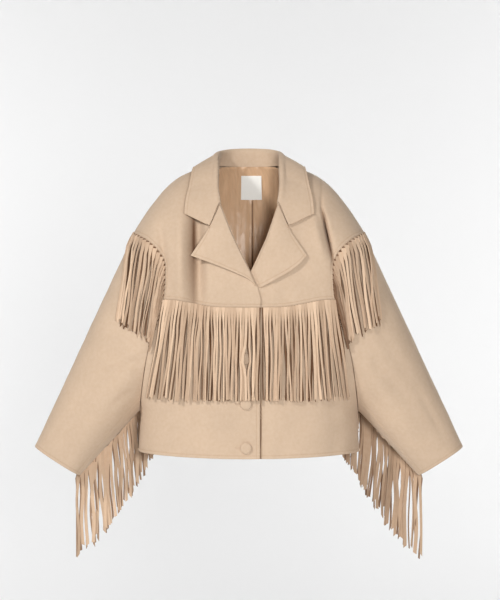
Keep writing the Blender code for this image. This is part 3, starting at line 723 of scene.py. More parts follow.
def walked(points):
    """Distance walked along a line of points."""
    steps = np.linalg.norm(np.diff(points, axis=0), axis=-1)
    return np.concatenate([[0.0], np.cumsum(steps)])


def stations(length, first, last, count, crowd=0.0):
    """Distances along a length: close together beside finished borders, even between.

    crowd draws the lines in towards the middle of the length, up to 1.
    """
    near = [NEAR_EDGE if kind in EDGES else np.array([0.0]) for kind in (first, last)]
    near = [row * min(1.0, 0.40 * length / max(row[-1], MM)) for row in near]
    even = np.linspace(0, 1, count + 2)[1:-1]
    even = even + crowd * np.sin(2 * np.pi * even) / (2 * np.pi)
    middle = near[0][-1] + (length - near[1][-1] - near[0][-1]) * even
    return np.concatenate([near[0], middle, length - near[1][::-1]])


def spread(surface, edges, pitch, crowd=0.0):
    """Grid of places on a surface whose lines run beside its borders.

    edges names the finish of the borders at u=0, u=1, v=0 and v=1. Gives u, v and the
    distance of each place from each border.
    """
    half = np.full(FINE.shape, 0.5)
    walk = walked(surface(half, FINE))
    rows = max(int(walk[-1] / pitch), 3)
    v_middle = np.interp(stations(walk[-1], edges[2], edges[3], rows), walk, FINE)
    columns = max(int(walked(surface(FINE, half))[-1] / pitch), 3)
    u, away = [], [[], [], [], []]
    for v in v_middle:
        walk = walked(surface(FINE, np.full(FINE.shape, v)))
        at = stations(walk[-1], edges[0], edges[1], columns, crowd)
        u.append(np.interp(at, walk, FINE))
        away[0].append(at)
        away[1].append(walk[-1] - at)
    u = np.array(u)
    v_all = []
    for middle in u.mean(axis=0):
        walk = walked(surface(np.full(FINE.shape, middle), FINE))
        at = stations(walk[-1], edges[2], edges[3], rows)
        v_all.append(np.interp(at, walk, FINE))
        away[2].append(at)
        away[3].append(walk[-1] - at)
    away = [np.array(away[0]), np.array(away[1]), np.array(away[2]).T, np.array(away[3]).T]
    return u, np.array(v_all).T, away


def edge_height(kind, away):
    """Height of a finished edge: rolled at the border, raised, then pulled in by its stitches."""
    drop, band, row, groove = EDGES[kind]
    off = away / MM
    height = -drop * np.clip(1 - off / 1.3, 0, 1) ** 2
    height += band * ease((off - 0.6) / 1.4) * (1 - ease((off - 4.6) / 3.2))
    if row:
        height -= groove * bell((off - row) / 0.75)
    return height * MM


def swell(points, length, seed):
    """Gentle uneven swell of cloth, about -1 to 1, with a given distance between crests."""
    random = np.random.default_rng(seed)
    total = np.zeros(points.shape[:-1])
    for _ in range(7):
        way = unit(random.normal(size=3))
        turns = 2 * np.pi / (length * random.uniform(0.6, 1.6))
        total += np.sin(points @ way * turns + random.uniform(0, 2 * np.pi))
    return total / 3.0


def normals_of(points):
    """Unit normals of a grid of points, columns crossed with rows."""
    return unit(np.cross(np.gradient(points, axis=1), np.gradient(points, axis=0)))


def wall_mesh(bm, front, back):
    """Adds a closed wall between two grids of points, and gives its vertices' grid places."""
    rows, columns = front.shape[:2]
    made = bmesh.ops.create_grid(bm, x_segments=columns - 1, y_segments=rows - 1, size=0.5)
    verts = made["verts"]
    faces = list(dict.fromkeys(face for vert in verts for face in vert.link_faces))
    grown = bmesh.ops.extrude_face_region(bm, geom=faces, use_keep_orig=True)
    behind = [v for v in grown["geom"] if isinstance(v, bmesh.types.BMVert)]
    spots = []
    for group, points in ((verts, front), (behind, back)):
        for vert in group:
            row = round((vert.co.y + 0.5) * (rows - 1))
            column = round((vert.co.x + 0.5) * (columns - 1))
            spots.append((vert, row, column))
            vert.co = points[row, column]
    return spots


def closed_object(bm, name, finish, sharp=50.0):
    """Turns a closed bmesh outwards and makes it an object that rides on the jacket."""
    bmesh.ops.recalc_face_normals(bm, faces=bm.faces[:])
    if bm.calc_volume(signed=True) < 0:
        bmesh.ops.reverse_faces(bm, faces=bm.faces[:])
    mesh = bpy.data.meshes.new(name)
    bm.to_mesh(mesh)
    bm.free()
    mesh.shade_smooth()
    mesh.set_sharp_from_angle(angle=math.radians(sharp))
    mesh.materials.append(finish)
    made = bpy.data.objects.new(name, mesh)
    bpy.context.scene.collection.objects.link(made)
    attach(made, "root")
    return made


def point_values(mesh, name, values):
    """Stores one number for each vertex."""
    layer = mesh.attributes.new(name, "FLOAT", "POINT")
    layer.data.foreach_set("value", np.asarray(values, dtype=np.float32))


def cloth(
    name, surface, edges, wall, finish, outward=1, relief=None, pitch=5.0, skip=(), crowd=0.0
):
    """A cut piece as a thin closed wall with finished edges; its stitch rows are noted.

    relief(points, u, v) raises the cloth. pitch is the mesh's, in mm. skip names the borders
    whose stitches don't show.
    """
    u, v, away = spread(surface, edges, pitch * MM, crowd)
    flat = surface(u, v)
    normal = normals_of(flat) * outward
    height = SWELL_HEIGHT * swell(flat, SWELL_LENGTH, len(name))
    # Painted shade: a thin darker line along each finished edge and each stitch row, kept per
    # vertex
    pressed = np.zeros(u.shape)
    for index, (kind, gap) in enumerate(zip(edges, away)):
        if kind in EDGES:
            height = height + edge_height(kind, gap)
            pressed = np.maximum(pressed, 0.4 * bell(gap / (0.9 * MM)))
            if EDGES[kind][2] and index not in skip:
                pressed = np.maximum(pressed, 0.6 * bell((gap / MM - EDGES[kind][2]) / 0.8))
    if relief is not None:
        height = height + relief(flat, u, v)
    front = flat + normal * height[..., None]
    bm = bmesh.new()
    spots = wall_mesh(bm, front, front - normal * wall)
    row_of = np.array([spot[1] for spot in spots])
    column_of = np.array([spot[2] for spot in spots])
    bm.verts.index_update()
    order = np.argsort([spot[0].index for spot in spots])
    row_of, column_of = row_of[order], column_of[order]
    made = closed_object(bm, name, finish)
    mesh = made.data
    point_values(mesh, "pressed", pressed[row_of, column_of])
    corner_verts = np.zeros(len(mesh.loops), dtype=np.int32)
    mesh.loops.foreach_get("vertex_index", corner_verts)
    run = np.stack([away[0], away[2]], axis=-1)[row_of, column_of][corner_verts]
    mesh.uv_layers.new(name="cut").data.foreach_set("uv", run.astype(np.float32).ravel())
    note_stitches(front, normal, edges, skip)
    return made


def note_stitches(front, normal, edges, skip):
    """Keeps the line of each stitch row that runs along a finished edge."""
    row = int(np.argmin(np.abs(NEAR_EDGE - STITCH_ROW * MM)))
    stitched = [kind in EDGES and EDGES[kind][2] > 0 for kind in edges]
    ends = [row if lit else 1 for lit in stitched]
    down = slice(ends[2], front.shape[0] - ends[3])
    along = slice(ends[0], front.shape[1] - ends[1])
    takes = ((down, row), (down, -1 - row), (row, along), (-1 - row, along))
    for index, take in enumerate(takes):
        if stitched[index] and index not in skip:
            STITCH_ROWS.append((front[take], normal[take]))


def strips(name, points, side, normal, width, wall, shade, finish, slant):
    """Cut strands as one mesh: a thin strip along each row of points.

    slant is how far each strip's end is cut off square. Each strip keeps its shade.
    """
    bm = bmesh.new()
    shades = []
    for k in range(len(points)):
        half = side[k] * (width[k] / 2)[:, None]
        left, right = points[k] - half, points[k] + half
        along = unit(points[k, -1] - points[k, -2])
        left[-1] += along * slant[k]
        right[-1] -= along * slant[k]
        grid = np.stack([left, right], axis=1)
        thick = normal[k][:, None, :] * wall
        wall_mesh(bm, grid + thick / 2, grid - thick / 2)
        shades += [shade[k]] * (4 * points.shape[1])
    made = closed_object(bm, name, finish, 40.0)
    point_values(made.data, "shade", shades)
    return made


def waved(count, rows, random, reach):
    """Slow waves for strands, none at the root: count by rows, about -reach to reach."""
    along = np.linspace(0, 1, rows)
    turns = random.uniform(0.5, 1.5, (count, 1))
    phase = random.uniform(0, 1, (count, 1))
    wave = np.sin(2 * np.pi * (turns * along + phase)) - np.sin(2 * np.pi * phase)
    drift = random.normal(0, 0.45, (count, 1)) * along
    return (wave * 0.55 + drift) * ease(along / 0.35) * reach


def clumped(count, random, low, high):
    """How far each strand leans towards the middle of its clump, in strands."""
    lean = np.zeros(count)
    start = 0
    while start < count:
        size = min(random.integers(low, high + 1), count - start)
        middle = (size - 1) / 2 + random.uniform(-0.4, 0.4)
        lean[start : start + size] = (middle - np.arange(size)) * random.uniform(0.15, 0.6)
        start += size
    return lean


def turned_frames(points, normal, twist):
    """Side and normal vectors of strips that lie on a surface and are turned by a twist."""
    along = unit(np.gradient(points, axis=1))
    across = unit(np.cross(normal, along))
    up = np.cross(along, across)
    cos, sin = np.cos(twist)[..., None], np.sin(twist)[..., None]
    return across * cos + up * sin, up * cos - across * sin


# ---------------------------------------------------------------- finishes
NOISE = "ShaderNodeTexNoise"
WAVE = "ShaderNodeTexWave"
RANGE = "ShaderNodeMapRange"
MIX = "ShaderNodeMix"
SUM = "ShaderNodeMath"
BUMP = "ShaderNodeBump"
SHADER = "ShaderNodeBsdfPrincipled"
COORDS = "ShaderNodeTexCoord"
CUT_MAP = "ShaderNodeUVMap"
MAPPING = "ShaderNodeMapping"
ATTRIBUTE = "ShaderNodeAttribute"
COLOURS = {"data_type": "RGBA"}
MULTIPLY = {"data_type": "RGBA", "blend_type": "MULTIPLY"}
# Sizes of the patterns in mm: clouds and lumps of the nap, streaks, slack and threads of the
# satin, threads of the ribbon, ply of the sewing thread and pulp of the paper
CLOUD_MM = 70.0
NAP_MM = 7.0
STRAND_NAP_MM = 9.0
STREAK_MM = 5.0
SATIN_THREAD_MM = 0.9
SLACK_MM = 16.0
RIBBON_THREAD_MM = 0.8
PLY_MM = 0.5
PULP_MM = 30.0
# Scale at which a wave texture repeats once a metre
WAVES_PER_TURN = 2 * math.pi / 20.0


def linear(hex_colour):
    """Linear colour with alpha, from an sRGB hex value."""
    parts = [int(hex_colour[i : i + 2], 16) / 255 for i in (1, 3, 5)]
    made = [c / 12.92 if c <= 0.04045 else ((c + 0.055) / 1.055) ** 2.4 for c in parts]
    return (*made, 1.0)


def add_node(tree, kind, settings=None, links=None):
    """Adds a node with its settings, and links the sockets that feed it."""
    node = tree.nodes.new(kind)
    for name, value in (settings or {}).items():
        if isinstance(name, int) or name in node.inputs:
            node.inputs[name].default_value = value
        else:
            setattr(node, name, value)
    for name, source in (links or {}).items():
        tree.links.new(source, node.inputs[name])
    return node


NAP_BUMP = {"Strength": 0.30, "Distance": 0.6 * MM}
NAP_SHADER = {
    "Roughness": 0.92,
    "IOR": 1.45,
    "Sheen Roughness": 0.55,
    "Sheen Tint": linear("#f4e6d6"),
}


def new_finish(name):
    """An empty node material with its tree and output."""
    made = bpy.data.materials.new(name)
    made.use_nodes = True
    tree = made.node_tree
    tree.nodes.clear()
    return made, tree, add_node(tree, "ShaderNodeOutputMaterial")


def scaled(colour, share):
    """Colour made lighter or darker."""
    return tuple(min(c * share, 1.0) for c in colour[:3]) + (1.0,)


def lumps(size_mm, detail, roughness=0.55):
    """Settings of a noise whose lumps are about a size in millimetres."""
    return {"Scale": 1000.0 / size_mm, "Detail": detail, "Roughness": roughness}


def suede_finish(settings):
    """Split hide sanded to a nap: matte and soft, with cloudy tone where the nap leans over,
    a fine tooth, and a bloom of light at grazing angles. A thin line of painted shade runs along
    finished edges and stitch rows, and deeper painted shade lies in creases and beside the closing."""
    made, tree, out = new_finish("sanded_split_suede")
    base = (*settings.suede, 1.0)
    at = {"Vector": add_node(tree, COORDS).outputs["Object"]}
    clouds = add_node(tree, NOISE, lumps(CLOUD_MM, 2.0), at).outputs["Fac"]
    nap = add_node(tree, NOISE, lumps(NAP_MM, 4.0), at).outputs["Fac"]
    tooth = add_node(tree, NOISE, lumps(settings.nap_mm, 3.0, 0.6), at).outputs["Fac"]
    share = add_node(tree, RANGE, {"From Min": 0.3, "From Max": 0.7}, {"Value": clouds})
    shades = {**COLOURS, 6: scaled(base, 0.96), 7: scaled(base, 1.03)}
    tone = add_node(tree, MIX, shades, {0: share.outputs[0]}).outputs[2]
    share = add_node(tree, RANGE, {"From Min": 0.25, "From Max": 0.65}, {"Value": nap})
    shades = {**COLOURS, 6: linear("#f3eee8"), 7: linear("#ffffff")}
    fleck = add_node(tree, MIX, shades, {0: share.outputs[0]}).outputs[2]
    tone = add_node(tree, MIX, {**MULTIPLY, 0: 0.55}, {6: tone, 7: fleck}).outputs[2]
    # Painted shade from two attributes: a thin line along edges and stitch rows, and deeper shade
    # in creases and beside the front closing
    for name, shade in (("pressed", "#ece4dc"), ("painted_shade", "#8f7560")):
        mark = add_node(tree, ATTRIBUTE, {"attribute_name": name}).outputs["Fac"]
        shades = {**MULTIPLY, 7: linear(shade)}
        tone = add_node(tree, MIX, shades, {0: mark, 6: tone}).outputs[2]
    relief = add_node(tree, BUMP, NAP_BUMP, {"Height": tooth}).outputs[0]
    values = {**NAP_SHADER, "Specular IOR Level": 0.22, "Sheen Weight": 0.22}
    shader = add_node(tree, SHADER, values, {"Base Color": tone, "Normal": relief})
    tree.links.new(shader.outputs[0], out.inputs[0])
    return made


def strand_finish(settings):
    """The same hide cut into strands, toned by each strand's shade value: from a painted deep
    shadow on the strands behind to a painted highlight paler than the suede on those in front, with
    random tone between."""
    made, tree, out = new_finish("cut_suede_strands")
    base = (*settings.suede, 1.0)
    at = {"Vector": add_node(tree, COORDS).outputs["Object"]}
    shade = add_node(tree, ATTRIBUTE, {"attribute_name": "shade"}).outputs["Fac"]
    share = add_node(tree, RANGE, {"From Min": 0.0, "From Max": 1.0}, {"Value": shade})
    # Painted light: a deep brown shadow at shade 0, and a painted highlight past the suede's colour
    # at 1
    shades = {**COLOURS, 6: linear("#644229"), 7: scaled(base, 1.30)}
    tone = add_node(tree, MIX, shades, {0: share.outputs[0]}).outputs[2]
    nap = add_node(tree, NOISE, lumps(STRAND_NAP_MM, 4.0), at).outputs["Fac"]
    shades = {**MULTIPLY, 7: linear("#f0e8e0")}
    tone = add_node(tree, MIX, shades, {0: nap, 6: tone}).outputs[2]
    tooth = add_node(tree, NOISE, lumps(settings.nap_mm, 3.0, 0.6), at).outputs["Fac"]
    relief = add_node(tree, BUMP, NAP_BUMP, {"Height": tooth}).outputs[0]
    values = {**NAP_SHADER, "Specular IOR Level": 0.20, "Sheen Weight": 0.16}
    shader = add_node(tree, SHADER, values, {"Base Color": tone, "Normal": relief})
    tree.links.new(shader.outputs[0], out.inputs[0])
    return made


def satin_finish(settings):
    """Acetate lining satin: smooth warp floats that gleam in soft streaks along the piece,
    with fine thread lines and slight colour change. Threads are drawn 0.9 mm apart, wider
    than real ones, so that they show."""
    made, tree, out = new_finish("acetate_satin")
    base = (*settings.lining, 1.0)
    cut = {"Vector": add_node(tree, CUT_MAP, {"uv_map": "cut"}).outputs["UV"]}
    long_way = {"Vector": add_node(tree, MAPPING, {"Scale": (1.0, 0.08, 1.0)}, cut).outputs[0]}
    wide_way = {"Vector": add_node(tree, MAPPING, {"Scale": (1.0, 0.35, 1.0)}, cut).outputs[0]}
    streaks = add_node(tree, NOISE, lumps(STREAK_MM, 3.0), long_way).outputs["Fac"]
    threads = add_node(tree, NOISE, lumps(SATIN_THREAD_MM, 1.0), long_way).outputs["Fac"]
    share = add_node(tree, RANGE, {"From Min": 0.3, "From Max": 0.7}, {"Value": streaks})
    shades = {**COLOURS, 6: scaled(base, 0.93), 7: scaled(base, 1.06)}
    tone = add_node(tree, MIX, shades, {0: share.outputs[0]}).outputs[2]
    # Painted shade: seam lines, and the shadow along the pleat's crease
    pressed = add_node(tree, ATTRIBUTE, {"attribute_name": "pressed"}).outputs["Fac"]
    shades = {**MULTIPLY, 7: linear("#7a6350")}
    tone = add_node(tree, MIX, shades, {0: pressed, 6: tone}).outputs[2]
    slack = add_node(tree, NOISE, lumps(SLACK_MM, 2.0), wide_way).outputs["Fac"]
    lie = {"Strength": 0.9, "Distance": 3.0 * MM}
    drape = add_node(tree, BUMP, lie, {"Height": slack}).outputs[0]
    lie = {"Strength": 0.15, "Distance": 0.3 * MM}
    relief = add_node(tree, BUMP, lie, {"Height": threads, "Normal": drape}).outputs[0]
    values = {"Roughness": 0.38, "IOR": 1.50, "Specular IOR Level": 0.40}
    values.update({"Anisotropic": 0.4, "Sheen Weight": 0.10})
    shader = add_node(tree, SHADER, values, {"Base Color": tone, "Normal": relief})
    tree.links.new(shader.outputs[0], out.inputs[0])
    return made


def ribbon_finish(settings):
    """Woven taffeta ribbon: pale, with crossed threads 0.8 mm apart, wider than real ones so
    that they show, and a faint gleam."""
    made, tree, out = new_finish("woven_taffeta_ribbon")
    base = (*settings.label, 1.0)
    cut = {"Vector": add_node(tree, CUT_MAP, {"uv_map": "cut"}).outputs["UV"]}
    scale = WAVES_PER_TURN / (RIBBON_THREAD_MM * MM)
    warp, weft = [
        add_node(tree, WAVE, {"Scale": scale, "bands_direction": way}, cut).outputs["Fac"]
        for way in ("X", "Y")
    ]
    weave = add_node(tree, SUM, {"operation": "ADD"}, {0: warp, 1: weft}).outputs[0]
    share = add_node(tree, RANGE, {"From Min": 0.0, "From Max": 2.0}, {"Value": weave})
    shades = {**COLOURS, 6: scaled(base, 0.93), 7: scaled(base, 1.03)}
    tone = add_node(tree, MIX, shades, {0: share.outputs[0]}).outputs[2]
    lie = {"Strength": 0.25, "Distance": 0.2 * MM}
    relief = add_node(tree, BUMP, lie, {"Height": weave}).outputs[0]
    values = {"Roughness": 0.6, "IOR": 1.5, "Specular IOR Level": 0.35, "Sheen Weight": 0.1}
    shader = add_node(tree, SHADER, values, {"Base Color": tone, "Normal": relief})
    tree.links.new(shader.outputs[0], out.inputs[0])
    return made


def thread_finish(settings):
    """Twisted polyester sewing thread, a shade off the suede: slightly glossy ply that
    catches small lights."""
    made, tree, out = new_finish("twisted_polyester_thread")
    base = (*settings.thread, 1.0)
    at = {"Vector": add_node(tree, COORDS).outputs["Object"]}
    ply = add_node(tree, NOISE, lumps(PLY_MM, 1.0), at).outputs["Fac"]
    share = add_node(tree, RANGE, {"From Min": 0.3, "From Max": 0.7}, {"Value": ply})
    shades = {**COLOURS, 6: scaled(base, 0.85), 7: scaled(base, 1.08)}
    tone = add_node(tree, MIX, shades, {0: share.outputs[0]}).outputs[2]
    values = {"Roughness": 0.5, "IOR": 1.5, "Specular IOR Level": 0.4}
    shader = add_node(tree, SHADER, values, {"Base Color": tone})
    tree.links.new(shader.outputs[0], out.inputs[0])
    return made


def paper_finish(colour):
    """Seamless background paper: matte and even, with a faint pulp mottle."""
    made, tree, out = new_finish("seamless_paper")
    at = {"Vector": add_node(tree, COORDS).outputs["Object"]}
    pulp = add_node(tree, NOISE, lumps(PULP_MM, 2.0), at).outputs["Fac"]
    share = add_node(tree, RANGE, {"From Min": 0.0, "From Max": 1.0}, {"Value": pulp})
    shades = {**COLOURS, 6: scaled(colour, 0.997), 7: scaled(colour, 1.003)}
    tone = add_node(tree, MIX, shades, {0: share.outputs[0]}).outputs[2]
    values = {"Roughness": 0.95, "Specular IOR Level": 0.1}
    shader = add_node(tree, SHADER, values, {"Base Color": tone})
    tree.links.new(shader.outputs[0], out.inputs[0])
    return made


MADE_FINISHES = {}


def finish_of(kind, settings):
    """The finish of a kind, made once."""
    makers = {
        "suede": suede_finish,
        "strand": strand_finish,
        "satin": satin_finish,
        "ribbon": ribbon_finish,
        "thread": thread_finish,
    }
    if kind not in MADE_FINISHES:
        MADE_FINISHES[kind] = makers[kind](settings)
    return MADE_FINISHES[kind]


def covers(piece, slot, *nodes):
    """Hides the solids that a piece stands for. piece and slot, the finish it takes, are not used.
    """
    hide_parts(*nodes)


# ---------------------------------------------------------------- settings
def colour_setting(name, description, default):
    """A colour that a user may change, from its hex value."""
    return bpy.props.FloatVectorProperty(
        name=name,
        description=description,
        subtype="COLOR",
        size=3,
        min=0.0,
        max=1.0,
        default=linear(default)[:3],
    )


class JacketSettings(bpy.types.PropertyGroup):
    """Sizes and colours of the finish."""

    suede: colour_setting("Suede", "Colour of the suede", "#c6ae96")
    lining: colour_setting("Lining", "Colour of the satin lining", "#d0ab88")
    label: colour_setting("Label", "Colour of the neck label", "#f8f7f1")
    thread: colour_setting("Thread", "Colour of the topstitching", "#c6ac93")
    paper: colour_setting("Background", "Colour of the background paper", "#f1f1f1")
    nap_mm: bpy.props.FloatProperty(
        name="Nap tooth",
        description="Size of the nap's tooth in millimetres, coarser than real so that it shows",
        default=2.2,
        min=0.3,
        max=6.0,
    )
    strand_width: bpy.props.FloatProperty(
        name="Strand width",
        description="Width of a cut strand",
        default=0.0055,
        min=0.002,
        max=0.012,
        unit="LENGTH",
    )
    strand_wall: bpy.props.FloatProperty(
        name="Strand thickness",
        description="Thickness of a cut strand",
        default=0.0013,
        min=0.0005,
        max=0.003,
        unit="LENGTH",
    )


# ---------------------------------------------------------------- stage
CAMERA_PLACE = (0.0021, -4.5, -0.273)
CAMERA_LENS = 128.6
FLOOR_LEVEL = -2.2
# Sweep of paper from near the camera, under the jacket and up behind it: along, height
SWEEP = ((-9.0, 0.0), (5.0, 0.0), (5.9, 0.08), (6.4, 0.4), (6.6, 0.9), (6.62, 3.0), (6.62, 9.0))
# Lamps: name, place, what it is aimed at, size across, watts
LAMPS = (
    ("key", (-2.9, -3.4, 2.1), (0.0, 0.0, -0.3), 0.6, 126.0),
    ("fill", (0.60, -4.7, 0.0), (0.0, 0.0, -0.3), 0.8, 130.0),
    ("paper_right", (-5.6, 3.9, 0.1), (-0.2, 7.3, 0.1), 2.5, 178.0),
    ("paper_left", (5.6, 3.9, 0.1), (0.2, 7.3, 0.1), 2.5, 178.0),
)
WORLD_STRENGTH = 0.22
SENSOR_WIDTH = 36.0
PAPER_WIDTH = 18.0
PAPER_ROWS = 60


class JACKET_OT_stage(bpy.types.Operator):
    """Sets up the paper sweep, the lamps and the camera"""

    bl_idname = "jacket.stage"
    bl_label = "Stage"

    def execute(self, context):
        settings = context.scene.suede_jacket
        along = curve(SWEEP)(np.linspace(0, 1, PAPER_ROWS))
        bm = bmesh.new()
        bmesh.ops.create_grid(bm, x_segments=2, y_segments=PAPER_ROWS - 1, size=0.5)
        for vert in bm.verts:
            reach, height = along[round((vert.co.y + 0.5) * (PAPER_ROWS - 1))]
            vert.co = Vector((vert.co.x * PAPER_WIDTH, reach, FLOOR_LEVEL + max(height, 0.0)))
        mesh = bpy.data.meshes.new("paper_sweep")
        bm.to_mesh(mesh)
        bm.free()
        mesh.shade_smooth()
        mesh.materials.append(paper_finish((*settings.paper, 1.0)))
        sweep = bpy.data.objects.new("paper_sweep", mesh)
        context.scene.collection.objects.link(sweep)
        for name, place, aim, across, watts in LAMPS:
            lamp = bpy.data.lights.new(name, "AREA")
            lamp.shape = "DISK"
            lamp.size = across
            lamp.energy = watts
            holder = bpy.data.objects.new(name, lamp)
            holder.location = place
            towards = Vector(aim) - Vector(place)
            holder.rotation_euler = towards.to_track_quat("-Z", "Y").to_euler()
            context.scene.collection.objects.link(holder)
        world = bpy.data.worlds.new("studio")
        world.use_nodes = True
        light = world.node_tree.nodes["Background"]
        light.inputs["Color"].default_value = (1.0, 1.0, 1.0, 1.0)
        light.inputs["Strength"].default_value = WORLD_STRENGTH
        context.scene.world = world
        context.scene.view_settings.view_transform = "Standard"
        lens = bpy.data.cameras.new("camera")
        lens.lens = CAMERA_LENS
        lens.sensor_width = SENSOR_WIDTH
        camera = bpy.data.objects.new("camera", lens)
        camera.location = CAMERA_PLACE
        camera.rotation_euler = (math.pi / 2, 0.0, 0.0)
        context.scene.collection.objects.link(camera)
        context.scene.camera = camera
        return {"FINISHED"}


# ---------------------------------------------------------------- body
# Mesh pitch of the fronts in mm: close where a fold is narrow
YOKE_PITCH = {-1: 3.0, 1: 2.0}
PANEL_PITCH = {-1: 5.0, 1: 2.4}


def paint_shade(piece, creases):
    """Stores painted shade on a piece, from a table of creases and shadow lines."""
    spots = np.array([vert.co for vert in piece.data.vertices])
    depth = fold_depth(spots[:, 0], spots[:, 2], creases)
    point_values(piece.data, "painted_shade", depth.clip(0, 1))


class JACKET_OT_fronts(bpy.types.Operator):
    """Cuts both fronts: the yoke above the fringe and the panel below it"""

    bl_idname = "jacket.fronts"
    bl_label = "Fronts"

    def execute(self, context):
        suede = finish_of("suede", context.scene.suede_jacket)
        for side in (-1, 1):
            name = side_name(side)
            yoke = cloth(
                "yoke_" + name,
                yoke_surface(side),
                ("raw", "lapped", "lapped", "seam"),
                SUEDE,
                suede,
                side,
                pitch=YOKE_PITCH[side],
                skip=(0,),
            )
            # Painted shade in the deep creases of the yoke
            paint_shade(yoke, PAINTED_SHADE_RIGHT if side < 0 else PAINTED_SHADE_LEFT)
            covers(yoke, "suede", "front_yoke_" + name)
            edge = "turned" if side < 0 else "raw"
            panel = cloth(
                "panel_" + name,
                panel_surface(side, front_edge(side), None),
                (edge, "seam", "seam", "turned"),
                SUEDE,
                suede,
                -side,
                pitch=PANEL_PITCH[side],
            )
            if side > 0:
                # Painted shadow on the left front beside the overlapping edge of the right front
                paint_shade(panel, PAINTED_SHADE_CLOSING)
            covers(panel, "suede", "front_panel_" + name)
        return {"FINISHED"}


class JACKET_OT_back(bpy.types.Operator):
    """Cuts the back in one piece"""

    bl_idname = "jacket.back"
    bl_label = "Back"

    def execute(self, context):
        suede = finish_of("suede", context.scene.suede_jacket)
        paths = []
        for side in (-1, 1):
            hole = curve(mirrored(BACK_ARMHOLE, side))(np.arange(10) / 9)
            rows = [tuple(p) for p in hole] + [(w * side, z) for z, w in (GIRTH[2], GIRTH[1])]
            paths.append(curve(rows[::-1]))
        across = GIRTH[1][1] * (np.arange(11) / 5 - 1)
        hem = curve(np.stack([across, hem_height(across)], axis=-1))
        neck = curve(mirrored(NECK_BACK, -1) + list(reversed(NECK_BACK))[1:])

        def shoulders(t):
            x = SHOULDER_POINT * (2 * np.asarray(t) - 1)
            ridge = np.stack([x, look_up(RIDGE, np.abs(x), 1)], axis=-1)
            dip = neck(0.5 + 0.5 * np.clip(x / NECK_POINT, -1, 1))
            return np.where((np.abs(x) >= NECK_POINT)[..., None], ridge, dip)

        flat = patch(hem, shoulders, paths[0], paths[1])

        def surface(u, v):
            eased = 0.35 * u + 0.65 * (0.5 - 0.5 * np.cos(u * np.pi))
            spot = flat(eased, settled(v))
            return back_place(spot[..., 0], spot[..., 1])

        edges = ("seam", "seam", "turned", "seam")
        back = cloth("back", surface, edges, SUEDE, suede, -1)
        covers(back, "suede", "back_panel")
        return {"FINISHED"}


# Lining's ease pleat below the label, and how far its top runs up under the collar seam
PLEAT_ACROSS = 0.0060
PLEAT_HEIGHT = 0.0024
PLEAT_TOP = -0.050
LINING_TUCK = 0.0062
# Gathers of the lining, from where they start: across, lean, half width, height, length
GATHER_TOP = 0.004
GATHERS = (
    (-0.0640, 0.10, 0.0050, 0.00336, 0.120),
    (-0.0530, 0.06, 0.0036, 0.00288, 0.060),
    (-0.0445, -0.04, 0.0040, 0.00360, 0.090),
    (-0.0350, 0.03, 0.0030, 0.00264, 0.035),
    (-0.0270, 0.00, 0.0034, 0.00312, 0.110),
    (0.0350, 0.05, 0.0032, 0.00264, 0.045),
    (0.0430, 0.00, 0.0042, 0.00336, 0.100),
    (0.0510, -0.05, 0.0030, 0.00240, 0.040),
    (0.0600, 0.04, 0.0048, 0.00336, 0.130),
    (0.0160, 0.06, 0.0050, 0.00240, 0.180),
    (-0.0120, -0.08, 0.0060, 0.00240, 0.200),
)
# Label: how far in front of the lining it lies, and how far its middle bows out
LABEL_GAP = 0.0016
LABEL_BOW = 0.0012


